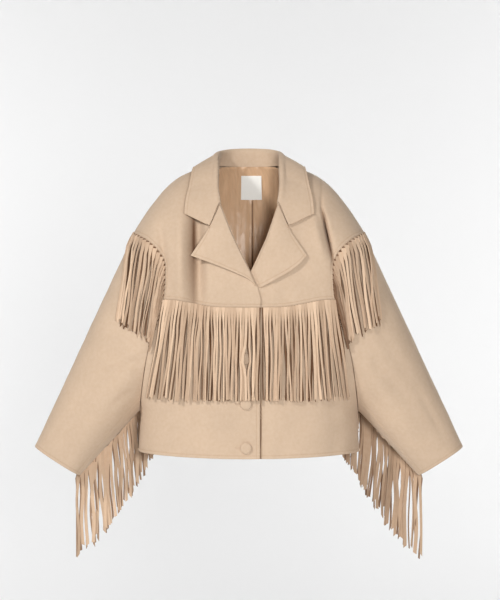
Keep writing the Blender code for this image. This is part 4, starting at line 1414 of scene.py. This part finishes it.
class JACKET_OT_lining(bpy.types.Operator):
    """Hangs the satin back lining with its centre pleat, and sews on the blank label"""

    bl_idname = "jacket.lining"
    bl_label = "Lining and label"

    def execute(self, context):
        settings = context.scene.suede_jacket
        right, left = corners(mirrored(LINING_SIDE, -1)), corners(LINING_SIDE)
        tucked = [(x, z + LINING_TUCK * (1 - ease((x - 0.065) / 0.03))) for x, z in LINING_TOP]
        top = corners(mirrored(tucked, -1)[::-1] + tucked)
        low = corners([right(np.zeros(1))[0], left(np.zeros(1))[0]])
        flat = patch(low, top, right, left)
        visible = SUEDE + LINING_ROOM + SATIN

        def surface(u, v):
            spot = flat(u, settled(v))
            return back_inside(spot[..., 0], spot[..., 1], np.full(u.shape, visible))

        def relief(points, _u, _v):
            x, z = points[..., 0], points[..., 2]
            below = np.clip((0.013 - z) / 0.006, 0, 1)
            off = (x - PLEAT_ACROSS) / MM
            fold = ease((off + 15) / 13) * (1 - ease(off / 1.4)) - 0.7 * bell((off - 1.5) / 1.6)
            raised = PLEAT_HEIGHT * fold * ease((PLEAT_TOP - z) / 0.02)
            down = GATHER_TOP - z
            for at, lean, half, height, length in GATHERS:
                gather = height * bell((x - at - lean * down) / half)
                raised = raised + gather * np.exp(-np.clip(down, 0, None) / length) * below
            return raised

        lining = cloth(
            "lining",
            surface,
            ("raw", "raw", "raw", "raw"),
            SATIN,
            finish_of("satin", settings),
            1,
            relief,
            3.4,
            crowd=0.8,
        )
        # Painted shadow: a dark line along the pleat's crease, stored in the same attribute as the
        # seam shade
        places = np.zeros(3 * len(lining.data.vertices))
        lining.data.vertices.foreach_get("co", places)
        x, z = places[0::3], places[2::3]
        crease = bell((x - PLEAT_ACROSS - 1.0 * MM) / (1.2 * MM))
        crease = crease * ease((PLEAT_TOP - 0.005 - z) / 0.01)
        lining.data.attributes["pressed"].data.foreach_set("value", crease.astype(np.float32))
        covers(lining, "lining", "back_lining")
        inward = visible + SATIN + LABEL_GAP

        def label_surface(u, v):
            x = LABEL_ACROSS[0] + (LABEL_ACROSS[1] - LABEL_ACROSS[0]) * u
            z = LABEL_UP[0] + (LABEL_UP[1] - LABEL_UP[0]) * v
            bowed = inward + LABEL_BOW * np.sin(np.pi * v) * (0.6 + 0.4 * np.sin(np.pi * u))
            return back_inside(x, z, bowed)

        label = cloth(
            "label",
            label_surface,
            ("raw", "raw", "raw", "raw"),
            SATIN,
            finish_of("ribbon", settings),
            1,
            pitch=2.5,
        )
        covers(label, "label", "neck_label")
        return {"FINISHED"}


# ---------------------------------------------------------------- collar and lapels
# Top of the stand below the roll, in and down; its foot inside the seam; height of the roll
STAND_IN = 0.0042
STAND_DOWN = 0.004
STAND_FOOT = 0.0012
ROLL_RISE = 0.0034


class JACKET_OT_collar(bpy.types.Operator):
    """Turns the collar over its roll and folds back the lapels"""

    bl_idname = "jacket.collar"
    bl_label = "Collar and lapels"

    def execute(self, context):
        suede = finish_of("suede", context.scene.suede_jacket)
        roll, _, seam = collar_paths()

        def surface(u, v):
            fall = fall_place(u, np.clip((v - 0.36) / 0.64, 0, 1))
            low = seam(u)
            lean = unit(low * (1, 1, 0))
            tall = np.linalg.norm(roll(u) - low, axis=-1)
            high = roll(u) - lean * np.minimum(STAND_IN, 0.3 * tall)[..., None]
            high = high - np.stack([0 * u, 0 * u, np.minimum(STAND_DOWN, 0.3 * tall)], axis=-1)
            rise = np.clip(v / 0.30, 0, 1)[..., None]
            stand = low - lean * STAND_FOOT + (high - low + lean * STAND_FOOT) * rise
            share = ease((v - 0.27) / 0.15)[..., None]
            over = ROLL_RISE * np.sin(np.pi * np.clip((v - 0.24) / 0.22, 0, 1))
            over = over * np.minimum(tall / 0.02, 1.0)
            point = stand * (1 - share) + fall * share
            return point + np.stack([0 * over, 0 * over, over], axis=-1)

        edges = ("joined", "joined", "joined", "turned")
        collar = cloth("collar", surface, edges, LEAF, suede, -1, pitch=4.2)
        covers(collar, "suede", "collar_fall", "collar_stand")
        for side in (-1, 1):
            name = side_name(side)
            leaf = cloth(
                "lapel_leaf_" + name,
                lapel_surface(side),
                ("raw", "turned", "turned", "seam"),
                LEAF,
                suede,
                side,
                pitch=4.0,
            )
            covers(leaf, "suede", "lapel_" + name)
        return {"FINISHED"}


# ---------------------------------------------------------------- sleeves
class JACKET_OT_sleeves(bpy.types.Operator):
    """Cuts each sleeve as an upper piece and a narrow under piece"""

    bl_idname = "jacket.sleeves"
    bl_label = "Sleeves"

    def execute(self, context):
        suede = finish_of("suede", context.scene.suede_jacket)
        for side, folds in ((-1, FOLDS_SLEEVE_RIGHT), (1, FOLDS_SLEEVE_LEFT)):
            place = sleeve_place(side, folds)
            name = side_name(side)

            def strip(start, end):
                def surface(u, v):
                    run = SLEEVE_START + (1 - SLEEVE_START) * v
                    a = start[0] + (start[1] - start[0]) * run
                    b = end[0] + (end[1] - end[0]) * run
                    return place(a + (b - a) * u, run)

                return surface

            upper = (1 + FRINGE_SEAM[0], 1 + FRINGE_SEAM[1])
            top = cloth(
                "sleeve_" + name,
                strip(FRONT_SEAM, upper),
                ("lapped", "seam", "seam", "turned"),
                SUEDE,
                suede,
                -side,
                pitch=6.0,
            )
            covers(top, "suede", "sleeve_top_" + name)
            under = cloth(
                "undersleeve_" + name,
                strip(FRINGE_SEAM, FRONT_SEAM),
                ("seam", "seam", "seam", "turned"),
                SUEDE,
                suede,
                -side,
                pitch=6.0,
            )
            covers(under, "suede", "sleeve_under_" + name)
        return {"FINISHED"}


# ---------------------------------------------------------------- fringe
# Rows of points down a strand, and the share of its length that is left uncut at the top
ROWS = 13
HEADER = 0.17
HEADER_LAP = 1.04
# Strands behind the others: share of full width. Painted shades from 0, deep shadow, to 1, a
# painted highlight paler than the suede: lowest and highest of the front strands, and highest of
# those behind
BEHIND_WIDTH = 0.60
FRONT_SHADES = (0.60, 1.0)
BEHIND_SHADE = 0.22
# Widths of the strands of each fringe, as shares of the width in the settings
CHEST_WIDTH = 0.82
ARM_WIDTH = 0.86
SLEEVE_WIDTH = 1.15
# Clearance of every strand from the cloth, and what the front ones have more
STRAND_CLEAR = 0.0010
FRONT_CLEAR = 0.0014
# Chest fringe: spacing of its strands, sway, how far the front ones hang out, and how they
# ride over a crease and a button: place, half width, height
CHEST_PITCH = 0.0030
CHEST_SWAY = 0.0024
CHEST_HANG = 0.0055
OVER_CREASE = (-0.143, 0.015, 0.0045)
OVER_BUTTON = (0.030, 0.016, 0.0052)
# Strands parted by the top button: half height, half width, distance
PARTED = (0.019, 0.0085, 0.0068)
# Armhole fringe: strands in each half, lean, wave, how far the front ones hang out, how the
# tips spread out from the roots, how much shorter strands get towards the body, the share of
# them at the shoulder that hang flatter, and how much painted shadow darkens those by the body
ARM_STRANDS = 56
ARM_LEAN = 0.0011
ARM_WAVE = 0.0027
ARM_HANG = 0.0055
ARM_SPREAD = (0.030, 0.012, 0.7)
ARM_SHORTER = 0.09
ARM_FLAT_SHARE = 0.16
ARM_SHADED = {-1: 0.35, 1: 0.85}
# Turn at which the search for a strand's place starts, and its limits, in front and behind
ARM_SEARCH_FRONT = (0.3, 0.02, 0.497)
ARM_SEARCH_BACK = (0.7, 0.503, 0.98)
# Sleeve fringe: spacing, sway, lean, how far the front ones hang out, how far past the cuff's
# corner they may reach, and the painted light of each side's strands, darker on the wearer's left
SLEEVE_PITCH = 0.0048
SLEEVE_SWAY = 0.0038
SLEEVE_LEAN = 0.0018
SLEEVE_LAYER = 0.0030
PAST_CUFF = 0.006
SLEEVE_SIDE_LIGHT = {-1: 1.0, 1: 0.72}


def facing(points, towards):
    """Normals of a grid of strand points, on the side of a direction."""
    normal = normals_of(points)
    turn = np.sign((normal * np.array(towards)).sum(axis=-1))
    return normal * np.where(turn == 0, 1, turn)[..., None]


def strand_sizes(random, count, settings):
    """Widths and painted shades of strands; every other one hangs behind the rest, in painted
    shade.
    """
    front = np.arange(count) % 2
    width = settings.strand_width * random.normal(1.02, 0.16, count).clip(0.65, 1.4)
    width = width * (BEHIND_WIDTH + (1 - BEHIND_WIDTH) * front)
    pale = random.uniform(*FRONT_SHADES, count)
    deep = random.uniform(0.0, BEHIND_SHADE, count)
    return width, np.where(front == 1, pale, deep), front[:, None]


def tapered(width, pitch):
    """Strand widths from the uncut header down: a little over the pitch, then their own."""
    along = np.linspace(0, 1, ROWS)
    joined = ease(1 - along / HEADER)
    return width[:, None] * (1 - joined) + pitch * HEADER_LAP * joined


class JACKET_OT_chest_fringe(bpy.types.Operator):
    """Hangs the fringe of both fronts from the yoke seam"""

    bl_idname = "jacket.chest_fringe"
    bl_label = "Chest fringe"

    def execute(self, context):
        settings = context.scene.suede_jacket
        finish = finish_of("strand", settings)
        for side in (-1, 1):
            random = np.random.default_rng(21 + side)
            edge = front_edge(side) if side < 0 else RIGHT_EDGE + 0.0055
            surface = panel_surface(side, edge, CHEST_FRINGE_END)
            seam = walked(surface(FINE, np.zeros(FINE.shape)))[-1]
            count = int(seam / CHEST_PITCH)
            width, shade, front = strand_sizes(random, count, settings)
            along = np.linspace(0, 1, ROWS)[None, :]
            root = ((np.arange(count) + 0.5) / count)[:, None]
            lean = clumped(count, random, 4, 9)[:, None] * ease(along / 0.8) / count * 0.5
            sway = waved(count, ROWS, random, CHEST_SWAY) / seam
            length = random.normal(1.0, 0.012, (count, 1)).clip(0.96, 1.02)
            ends = surface(np.array([[0.0], [1.0]]) + 0 * along, along + np.zeros((2, 1)))
            wide = np.abs(ends[1, :, 0] - ends[0, :, 0])
            plumb = root * (1 + 0.17 * root**2 * along) * wide[0] / wide
            u = np.clip(plumb + lean + sway, 0.004, 0.996)
            flat = surface(u, along * length)
            normal = facing(surface(root + 0 * along, along + 0 * root), (0, -1, 0))
            layer = 0.25 * random.uniform(0, 1, (count, 1)) + 0.75 * front
            off = STRAND_CLEAR + FRONT_CLEAR * front
            off = off + (0.0020 + CHEST_HANG * layer) * ease(along / 0.25)
            off = off + waved(count, ROWS, random, 0.0010)
            at, half, height = OVER_CREASE
            off = off + height * bell((flat[..., 0] - at) / half) * ease(along / 0.3)
            beside = flat[..., 0] - BUTTON_ACROSS
            level = flat[..., 2] - BUTTON_HEIGHTS[0]
            tall, half, height = OVER_BUTTON
            off = np.maximum(off, 0.0015) + height * bell(level / tall) * bell(beside / half)
            points = flat + normal * off[..., None]
            tall, half, gap = PARTED
            apart = gap * bell(level / tall) * bell(beside / half)
            points[..., 0] += np.sign(beside + 0.0005) * apart
            twist = random.normal(0, 0.30, (count, 1)) + random.normal(0, 0.45, (count, 1)) * along
            twist = np.clip(twist, -0.9, 0.9) * ease(along / 0.2)
            across, up = turned_frames(points, normal, twist)
            fringe = strips(
                "chest_strands_" + side_name(side),
                points,
                across,
                up,
                tapered(width * CHEST_WIDTH, 2 * CHEST_PITCH),
                settings.strand_wall,
                shade,
                finish,
                random.uniform(-0.0016, 0.0016, count),
            )
            covers(fringe, "suede", "chest_fringe_" + side_name(side))
        return {"FINISHED"}


class JACKET_OT_armhole_fringe(bpy.types.Operator):
    """Hangs the fringe of both armholes over the sleeves, in front and behind"""

    bl_idname = "jacket.armhole_fringe"
    bl_label = "Armhole fringe"

    def execute(self, context):
        for side in (-1, 1):
            for front in (True, False):
                self.hang(context.scene.suede_jacket, side, front)
        return {"FINISHED"}

    def hang(self, settings, side, front):
        """Hangs the strands of one half of an armhole."""
        random = np.random.default_rng(40 + side + 5 * front)
        place, seam = sleeve_place(side), ring(side)
        start, end = ARM_FRINGE_FRONT if front else ARM_FRINGE_BACK
        count = ARM_STRANDS
        share = (np.arange(count) + 0.5) / count
        top = seam(start + (end - start) * share)
        round_seam = np.linalg.norm(np.diff(top, axis=0), axis=-1).mean()
        to_body = 1 - share if front else share
        even = curve(ARM_TIPS)(to_body)[:, 0]
        out, less, from_root = ARM_SPREAD
        reach_out = from_root * (np.abs(top[:, 0]) + out - less * to_body)
        reach_out = reach_out + (1 - from_root) * even
        low, height = np.array(ARM_TIPS[::-1]).T
        tips = np.stack([side * reach_out, np.interp(reach_out, low, height)], axis=-1)
        along = np.linspace(0, 1, ROWS)[None, :]
        length = random.normal(1.0, 0.03, (count, 1)).clip(0.92, 1.05)
        reach = along * length * (1 - ARM_SHORTER * to_body[:, None])
        x = top[:, :1] + (tips[:, :1] - top[:, :1]) * reach
        z = top[:, 2:] + (tips[:, 1:] - top[:, 2:]) * reach
        x = x + side * 0.0016 * (1 - along)
        x = x + clumped(count, random, 4, 8)[:, None] * ARM_LEAN * ease(along) * side
        at_tip = ease(1 - to_body / ARM_FLAT_SHARE)[:, None]
        x = x + waved(count, ROWS, random, ARM_WAVE) * (1 - 0.8 * at_tip)
        search = ARM_SEARCH_FRONT if front else ARM_SEARCH_BACK
        turn, run = turn_at(place, x, z, *search)
        run = np.maximum(run, 0.004)
        flat = place(turn, run)
        about = place(turn + 0.004, run) - place(turn - 0.004, run)
        down = place(turn, run + 0.01) - flat
        normal = unit(np.cross(about, down)) * -side
        width, shade, outer = strand_sizes(random, count, settings)
        layer = 0.3 * random.uniform(0, 1, (count, 1)) + 0.7 * outer
        off = STRAND_CLEAR + FRONT_CLEAR * outer
        off = off + (0.0015 + ARM_HANG * layer) * ease(along / 0.2)
        off = np.maximum(off + waved(count, ROWS, random, 0.0014), 0.0012)
        off = off * (1 - 0.35 * at_tip) + 0.0026 * at_tip * bell((along - 0.25) / 0.20)
        # Painted shadow: front strands beside the body are darkened
        body_shadow = ease((to_body - 0.50) / 0.18) * ARM_SHADED[side] * front
        points = flat + normal * off[..., None]
        twist = random.normal(0, 0.35, (count, 1)) + random.normal(0, 0.45, (count, 1)) * along
        twist = np.clip(twist, -1.0, 1.0) * ease(along / 0.2)
        across, up = turned_frames(points, normal, twist)
        name = ("front_" if front else "back_") + side_name(side)
        fringe = strips(
            "armhole_strands_" + name,
            points,
            across,
            up,
            tapered(width * ARM_WIDTH, 1.96 * round_seam),
            settings.strand_wall,
            shade * (1 - body_shadow),
            finish_of("strand", settings),
            random.uniform(-0.0025, 0.0025, count),
        )
        covers(fringe, "suede", "arm_fringe_" + name)


class JACKET_OT_sleeve_fringe(bpy.types.Operator):
    """Hangs the long fringe plumb from the back seam of both sleeves"""

    bl_idname = "jacket.sleeve_fringe"
    bl_label = "Sleeve fringe"

    def execute(self, context):
        settings = context.scene.suede_jacket
        for side in (-1, 1):
            random = np.random.default_rng(63 + side)
            place = sleeve_place(side)
            fine_run = 0.02 + 0.975 * FINE
            turn = FRINGE_SEAM[0] + (FRINGE_SEAM[1] - FRINGE_SEAM[0]) * fine_run
            line = place(turn, fine_run)
            walk = walked(line)
            count = int(walk[-1] / SLEEVE_PITCH)
            at = (np.arange(count) + 0.5) / count * walk[-1]
            root = np.stack([np.interp(at, walk, column) for column in line.T], axis=-1)
            along = np.linspace(0, 1, ROWS)[None, :]
            short, full = SLEEVE_FRINGE_LENGTH
            length = short + (full - short) * ease(at / walk[-1])
            length = length * random.normal(1.0, 0.035, count).clip(0.90, 1.04)
            drop = length[:, None] * along
            width, shade, front = strand_sizes(random, count, settings)
            share = at[:, None] / walk[-1]
            sway = waved(count, ROWS, random, SLEEVE_SWAY)
            lean = clumped(count, random, 4, 9)[:, None] * SLEEVE_LEAN * ease(along) * side
            lean = lean - side * 0.06 * drop * np.sin(np.pi * share)
            lean = lean + side * 0.0060 * ease((share - 0.86) / 0.12) * ease(along / 0.05)
            layer = 0.3 * random.uniform(-1, 1, (count, 1)) + 0.7 * (1 - 2 * front)
            hang = SLEEVE_LAYER * layer * (0.3 + 0.7 * ease(along / 0.25))
            depth = 0.0035 + 0.004 * along + hang
            depth = depth + waved(count, ROWS, random, 0.0016)
            points = np.stack(
                [
                    root[:, :1] + sway + lean,
                    root[:, 1:2] + depth,
                    root[:, 2:] - 0.0012 - drop,
                ],
                axis=-1,
            )
            limit = np.abs(root[-1, 0])
            points[..., 0] = side * np.minimum(np.abs(points[..., 0]), limit + PAST_CUFF)
            normal = np.zeros(points.shape)
            normal[..., 1] = -1.0
            twist = random.normal(0, 0.32, (count, 1)) + random.normal(0, 0.42, (count, 1)) * along
            twist = np.clip(twist, -1.0, 1.0) * ease(along / 0.2)
            across, up = turned_frames(points, normal, twist)
            fringe = strips(
                "sleeve_strands_" + side_name(side),
                points,
                across,
                up,
                tapered(width * SLEEVE_WIDTH, 2 * SLEEVE_PITCH),
                settings.strand_wall,
                # Painted light: shade kept paler than on the body, then scaled per side, darker on
                # the wearer's left
                (0.30 + 0.70 * shade) * SLEEVE_SIDE_LIGHT[side],
                finish_of("strand", settings),
                random.uniform(-0.0042, 0.0042, count),
            )
            covers(fringe, "suede", "sleeve_fringe_" + side_name(side))
        return {"FINISHED"}


# ---------------------------------------------------------------- buttons
# Section of a covered button, centre of the back to crown: radius, height
BUTTON_SECTION = (
    (0.0, 0.0),
    (0.0100, 0.0),
    (0.0112, 0.0005),
    (0.0119, 0.0014),
    (0.0120, 0.0022),
    (0.0117, 0.0031),
    (0.0109, 0.0039),
    (0.0095, 0.0046),
    (0.0070, 0.0051),
    (0.0035, 0.0054),
    (0.0, 0.0055),
)


def bead(bm, middle, along, up, length, thick):
    """Adds one small rounded bead that lies along a direction."""
    side = Vector(up).cross(Vector(along)).normalized()
    rise = Vector(along).cross(side).normalized()
    turn = np.eye(4)
    turn[:3, 0] = np.array(along) * length / 2
    turn[:3, 1] = np.array(side) * thick / 2
    turn[:3, 2] = np.array(rise) * thick / 2
    turn[:3, 3] = middle
    bmesh.ops.create_uvsphere(bm, u_segments=6, v_segments=4, radius=1.0, matrix=Matrix(turn))


# Buttonhole: how far beside the button it starts, pitch and count of the stitches of a lip,
# half height; length and thickness of a stitch
HOLE_START = 5.5 * MM
HOLE_PITCH = 0.66 * MM
HOLE_STITCHES = 23
HOLE_HALF = 1.15 * MM
HOLE_STITCH = (1.7 * MM, 0.7 * MM)
# Bar tack at its end: start, pitch, count; length and thickness of a stitch
TACK_START = 20.5 * MM
TACK_PITCH = 0.35 * MM
TACK_STITCHES = 5
TACK_STITCH = (4.6 * MM, 0.7 * MM)


class JACKET_OT_buttons(bpy.types.Operator):
    """Covers the buttons in suede and works a buttonhole beside each"""

    bl_idname = "jacket.buttons"
    bl_label = "Buttons"

    def execute(self, context):
        settings = context.scene.suede_jacket
        for index, height in enumerate(BUTTON_HEIGHTS, 1):
            seat = front_place(np.array([BUTTON_ACROSS]), np.array([height]), -1)[0]
            bm = bmesh.new()
            verts = [bm.verts.new((radius, 0.0, rise)) for radius, rise in BUTTON_SECTION]
            edges = [bm.edges.new(pair) for pair in zip(verts, verts[1:])]
            bmesh.ops.spin(
                bm,
                geom=verts + edges,
                cent=(0, 0, 0),
                axis=(0, 0, 1),
                angle=2 * math.pi,
                steps=36,
                use_merge=True,
            )
            bmesh.ops.remove_doubles(bm, verts=bm.verts[:], dist=0.00002)
            forward = Vector((0, 0, 1)).rotation_difference(Vector((0, -1, 0)))
            bmesh.ops.rotate(bm, verts=bm.verts[:], matrix=forward.to_matrix())
            bmesh.ops.translate(bm, verts=bm.verts[:], vec=Vector(seat) - Vector((0, LAY_GAP, 0)))
            made = closed_object(bm, f"covered_button_{index}", finish_of("suede", settings), 60.0)
            point_values(made.data, "pressed", np.zeros(len(made.data.vertices)))
            covers(made, "suede", f"button_{index}")
            hole = bmesh.new()
            stitches = [
                (HOLE_START + step * HOLE_PITCH, lip * HOLE_HALF, *HOLE_STITCH)
                for step in range(HOLE_STITCHES)
                for lip in (-1, 1)
            ]
            stitches += [
                (TACK_START + step * TACK_PITCH, 0.0, *TACK_STITCH)
                for step in range(TACK_STITCHES)
            ]
            for beside, above, length, thick in stitches:
                x, z = np.array([BUTTON_ACROSS - beside]), np.array([height + above])
                at = front_place(x, z, -1)[0] - (0, 0.2 * MM, 0)
                bead(hole, at, (0, 0, 1), (0, -1, 0), length, thick)
            worked = closed_object(hole, f"buttonhole_{index}", finish_of("thread", settings), 80.0)
        return {"FINISHED"}


class JACKET_OT_topstitching(bpy.types.Operator):
    """Sews the rows of topstitches along the finished edges of every cut piece"""

    bl_idname = "jacket.topstitching"
    bl_label = "Topstitching"

    def execute(self, context):
        bm = bmesh.new()
        for line, normal in STITCH_ROWS:
            walk = walked(line)
            count = int(walk[-1] / STITCH_PITCH)
            if count < 2:
                raise RuntimeError("a stitch row is shorter than two stitches")
            at = (np.arange(count) + 0.5) * walk[-1] / count
            ends = []
            for shift in (-STITCH_LENGTH / 2, STITCH_LENGTH / 2):
                where = np.clip(at + shift, 0, walk[-1])
                ends.append(np.stack([np.interp(where, walk, c) for c in line.T], axis=-1))
            up = unit(np.stack([np.interp(at, walk, c) for c in normal.T], axis=-1))
            middle = (ends[0] + ends[1]) / 2 + up * STITCH_PROUD
            along = unit(ends[1] - ends[0])
            row = bmesh.new()
            for k in range(count):
                bead(row, middle[k], along[k], up[k], STITCH_LENGTH, STITCH_THICK)
            sewn = bpy.data.meshes.new("row")
            row.to_mesh(sewn)
            row.free()
            bm.from_mesh(sewn)
            bpy.data.meshes.remove(sewn)
        thread = finish_of("thread", context.scene.suede_jacket)
        rows = closed_object(bm, "topstitching", thread, 80.0)
        return {"FINISHED"}


# ---------------------------------------------------------------- panel and order of work
STEPS = (
    JACKET_OT_stage,
    JACKET_OT_fronts,
    JACKET_OT_back,
    JACKET_OT_lining,
    JACKET_OT_collar,
    JACKET_OT_sleeves,
    JACKET_OT_chest_fringe,
    JACKET_OT_armhole_fringe,
    JACKET_OT_sleeve_fringe,
    JACKET_OT_buttons,
    JACKET_OT_topstitching,
)


class JACKET_PT_panel(bpy.types.Panel):
    """Lists the jacket's steps and settings"""

    bl_idname = "JACKET_PT_panel"
    bl_label = "Fringed suede jacket"
    bl_space_type = "VIEW_3D"
    bl_region_type = "UI"
    bl_category = "Jacket"

    def draw(self, context):
        settings = context.scene.suede_jacket
        column = self.layout.column()
        for name in JacketSettings.__annotations__:
            column.prop(settings, name)
        column.separator()
        for step in STEPS:
            column.operator(step.bl_idname)


CLASSES = (JacketSettings, *STEPS, JACKET_PT_panel)


def register():
    for item in CLASSES:
        bpy.utils.register_class(item)
    bpy.types.Scene.suede_jacket = bpy.props.PointerProperty(type=JacketSettings)


def unregister():
    del bpy.types.Scene.suede_jacket
    for item in reversed(CLASSES):
        bpy.utils.unregister_class(item)


def main():
    """Registers the add-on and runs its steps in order."""
    register()
    for step in STEPS:
        group, name = step.bl_idname.split(".")
        getattr(getattr(bpy.ops, group), name)()


if __name__ == "__main__":
    main()
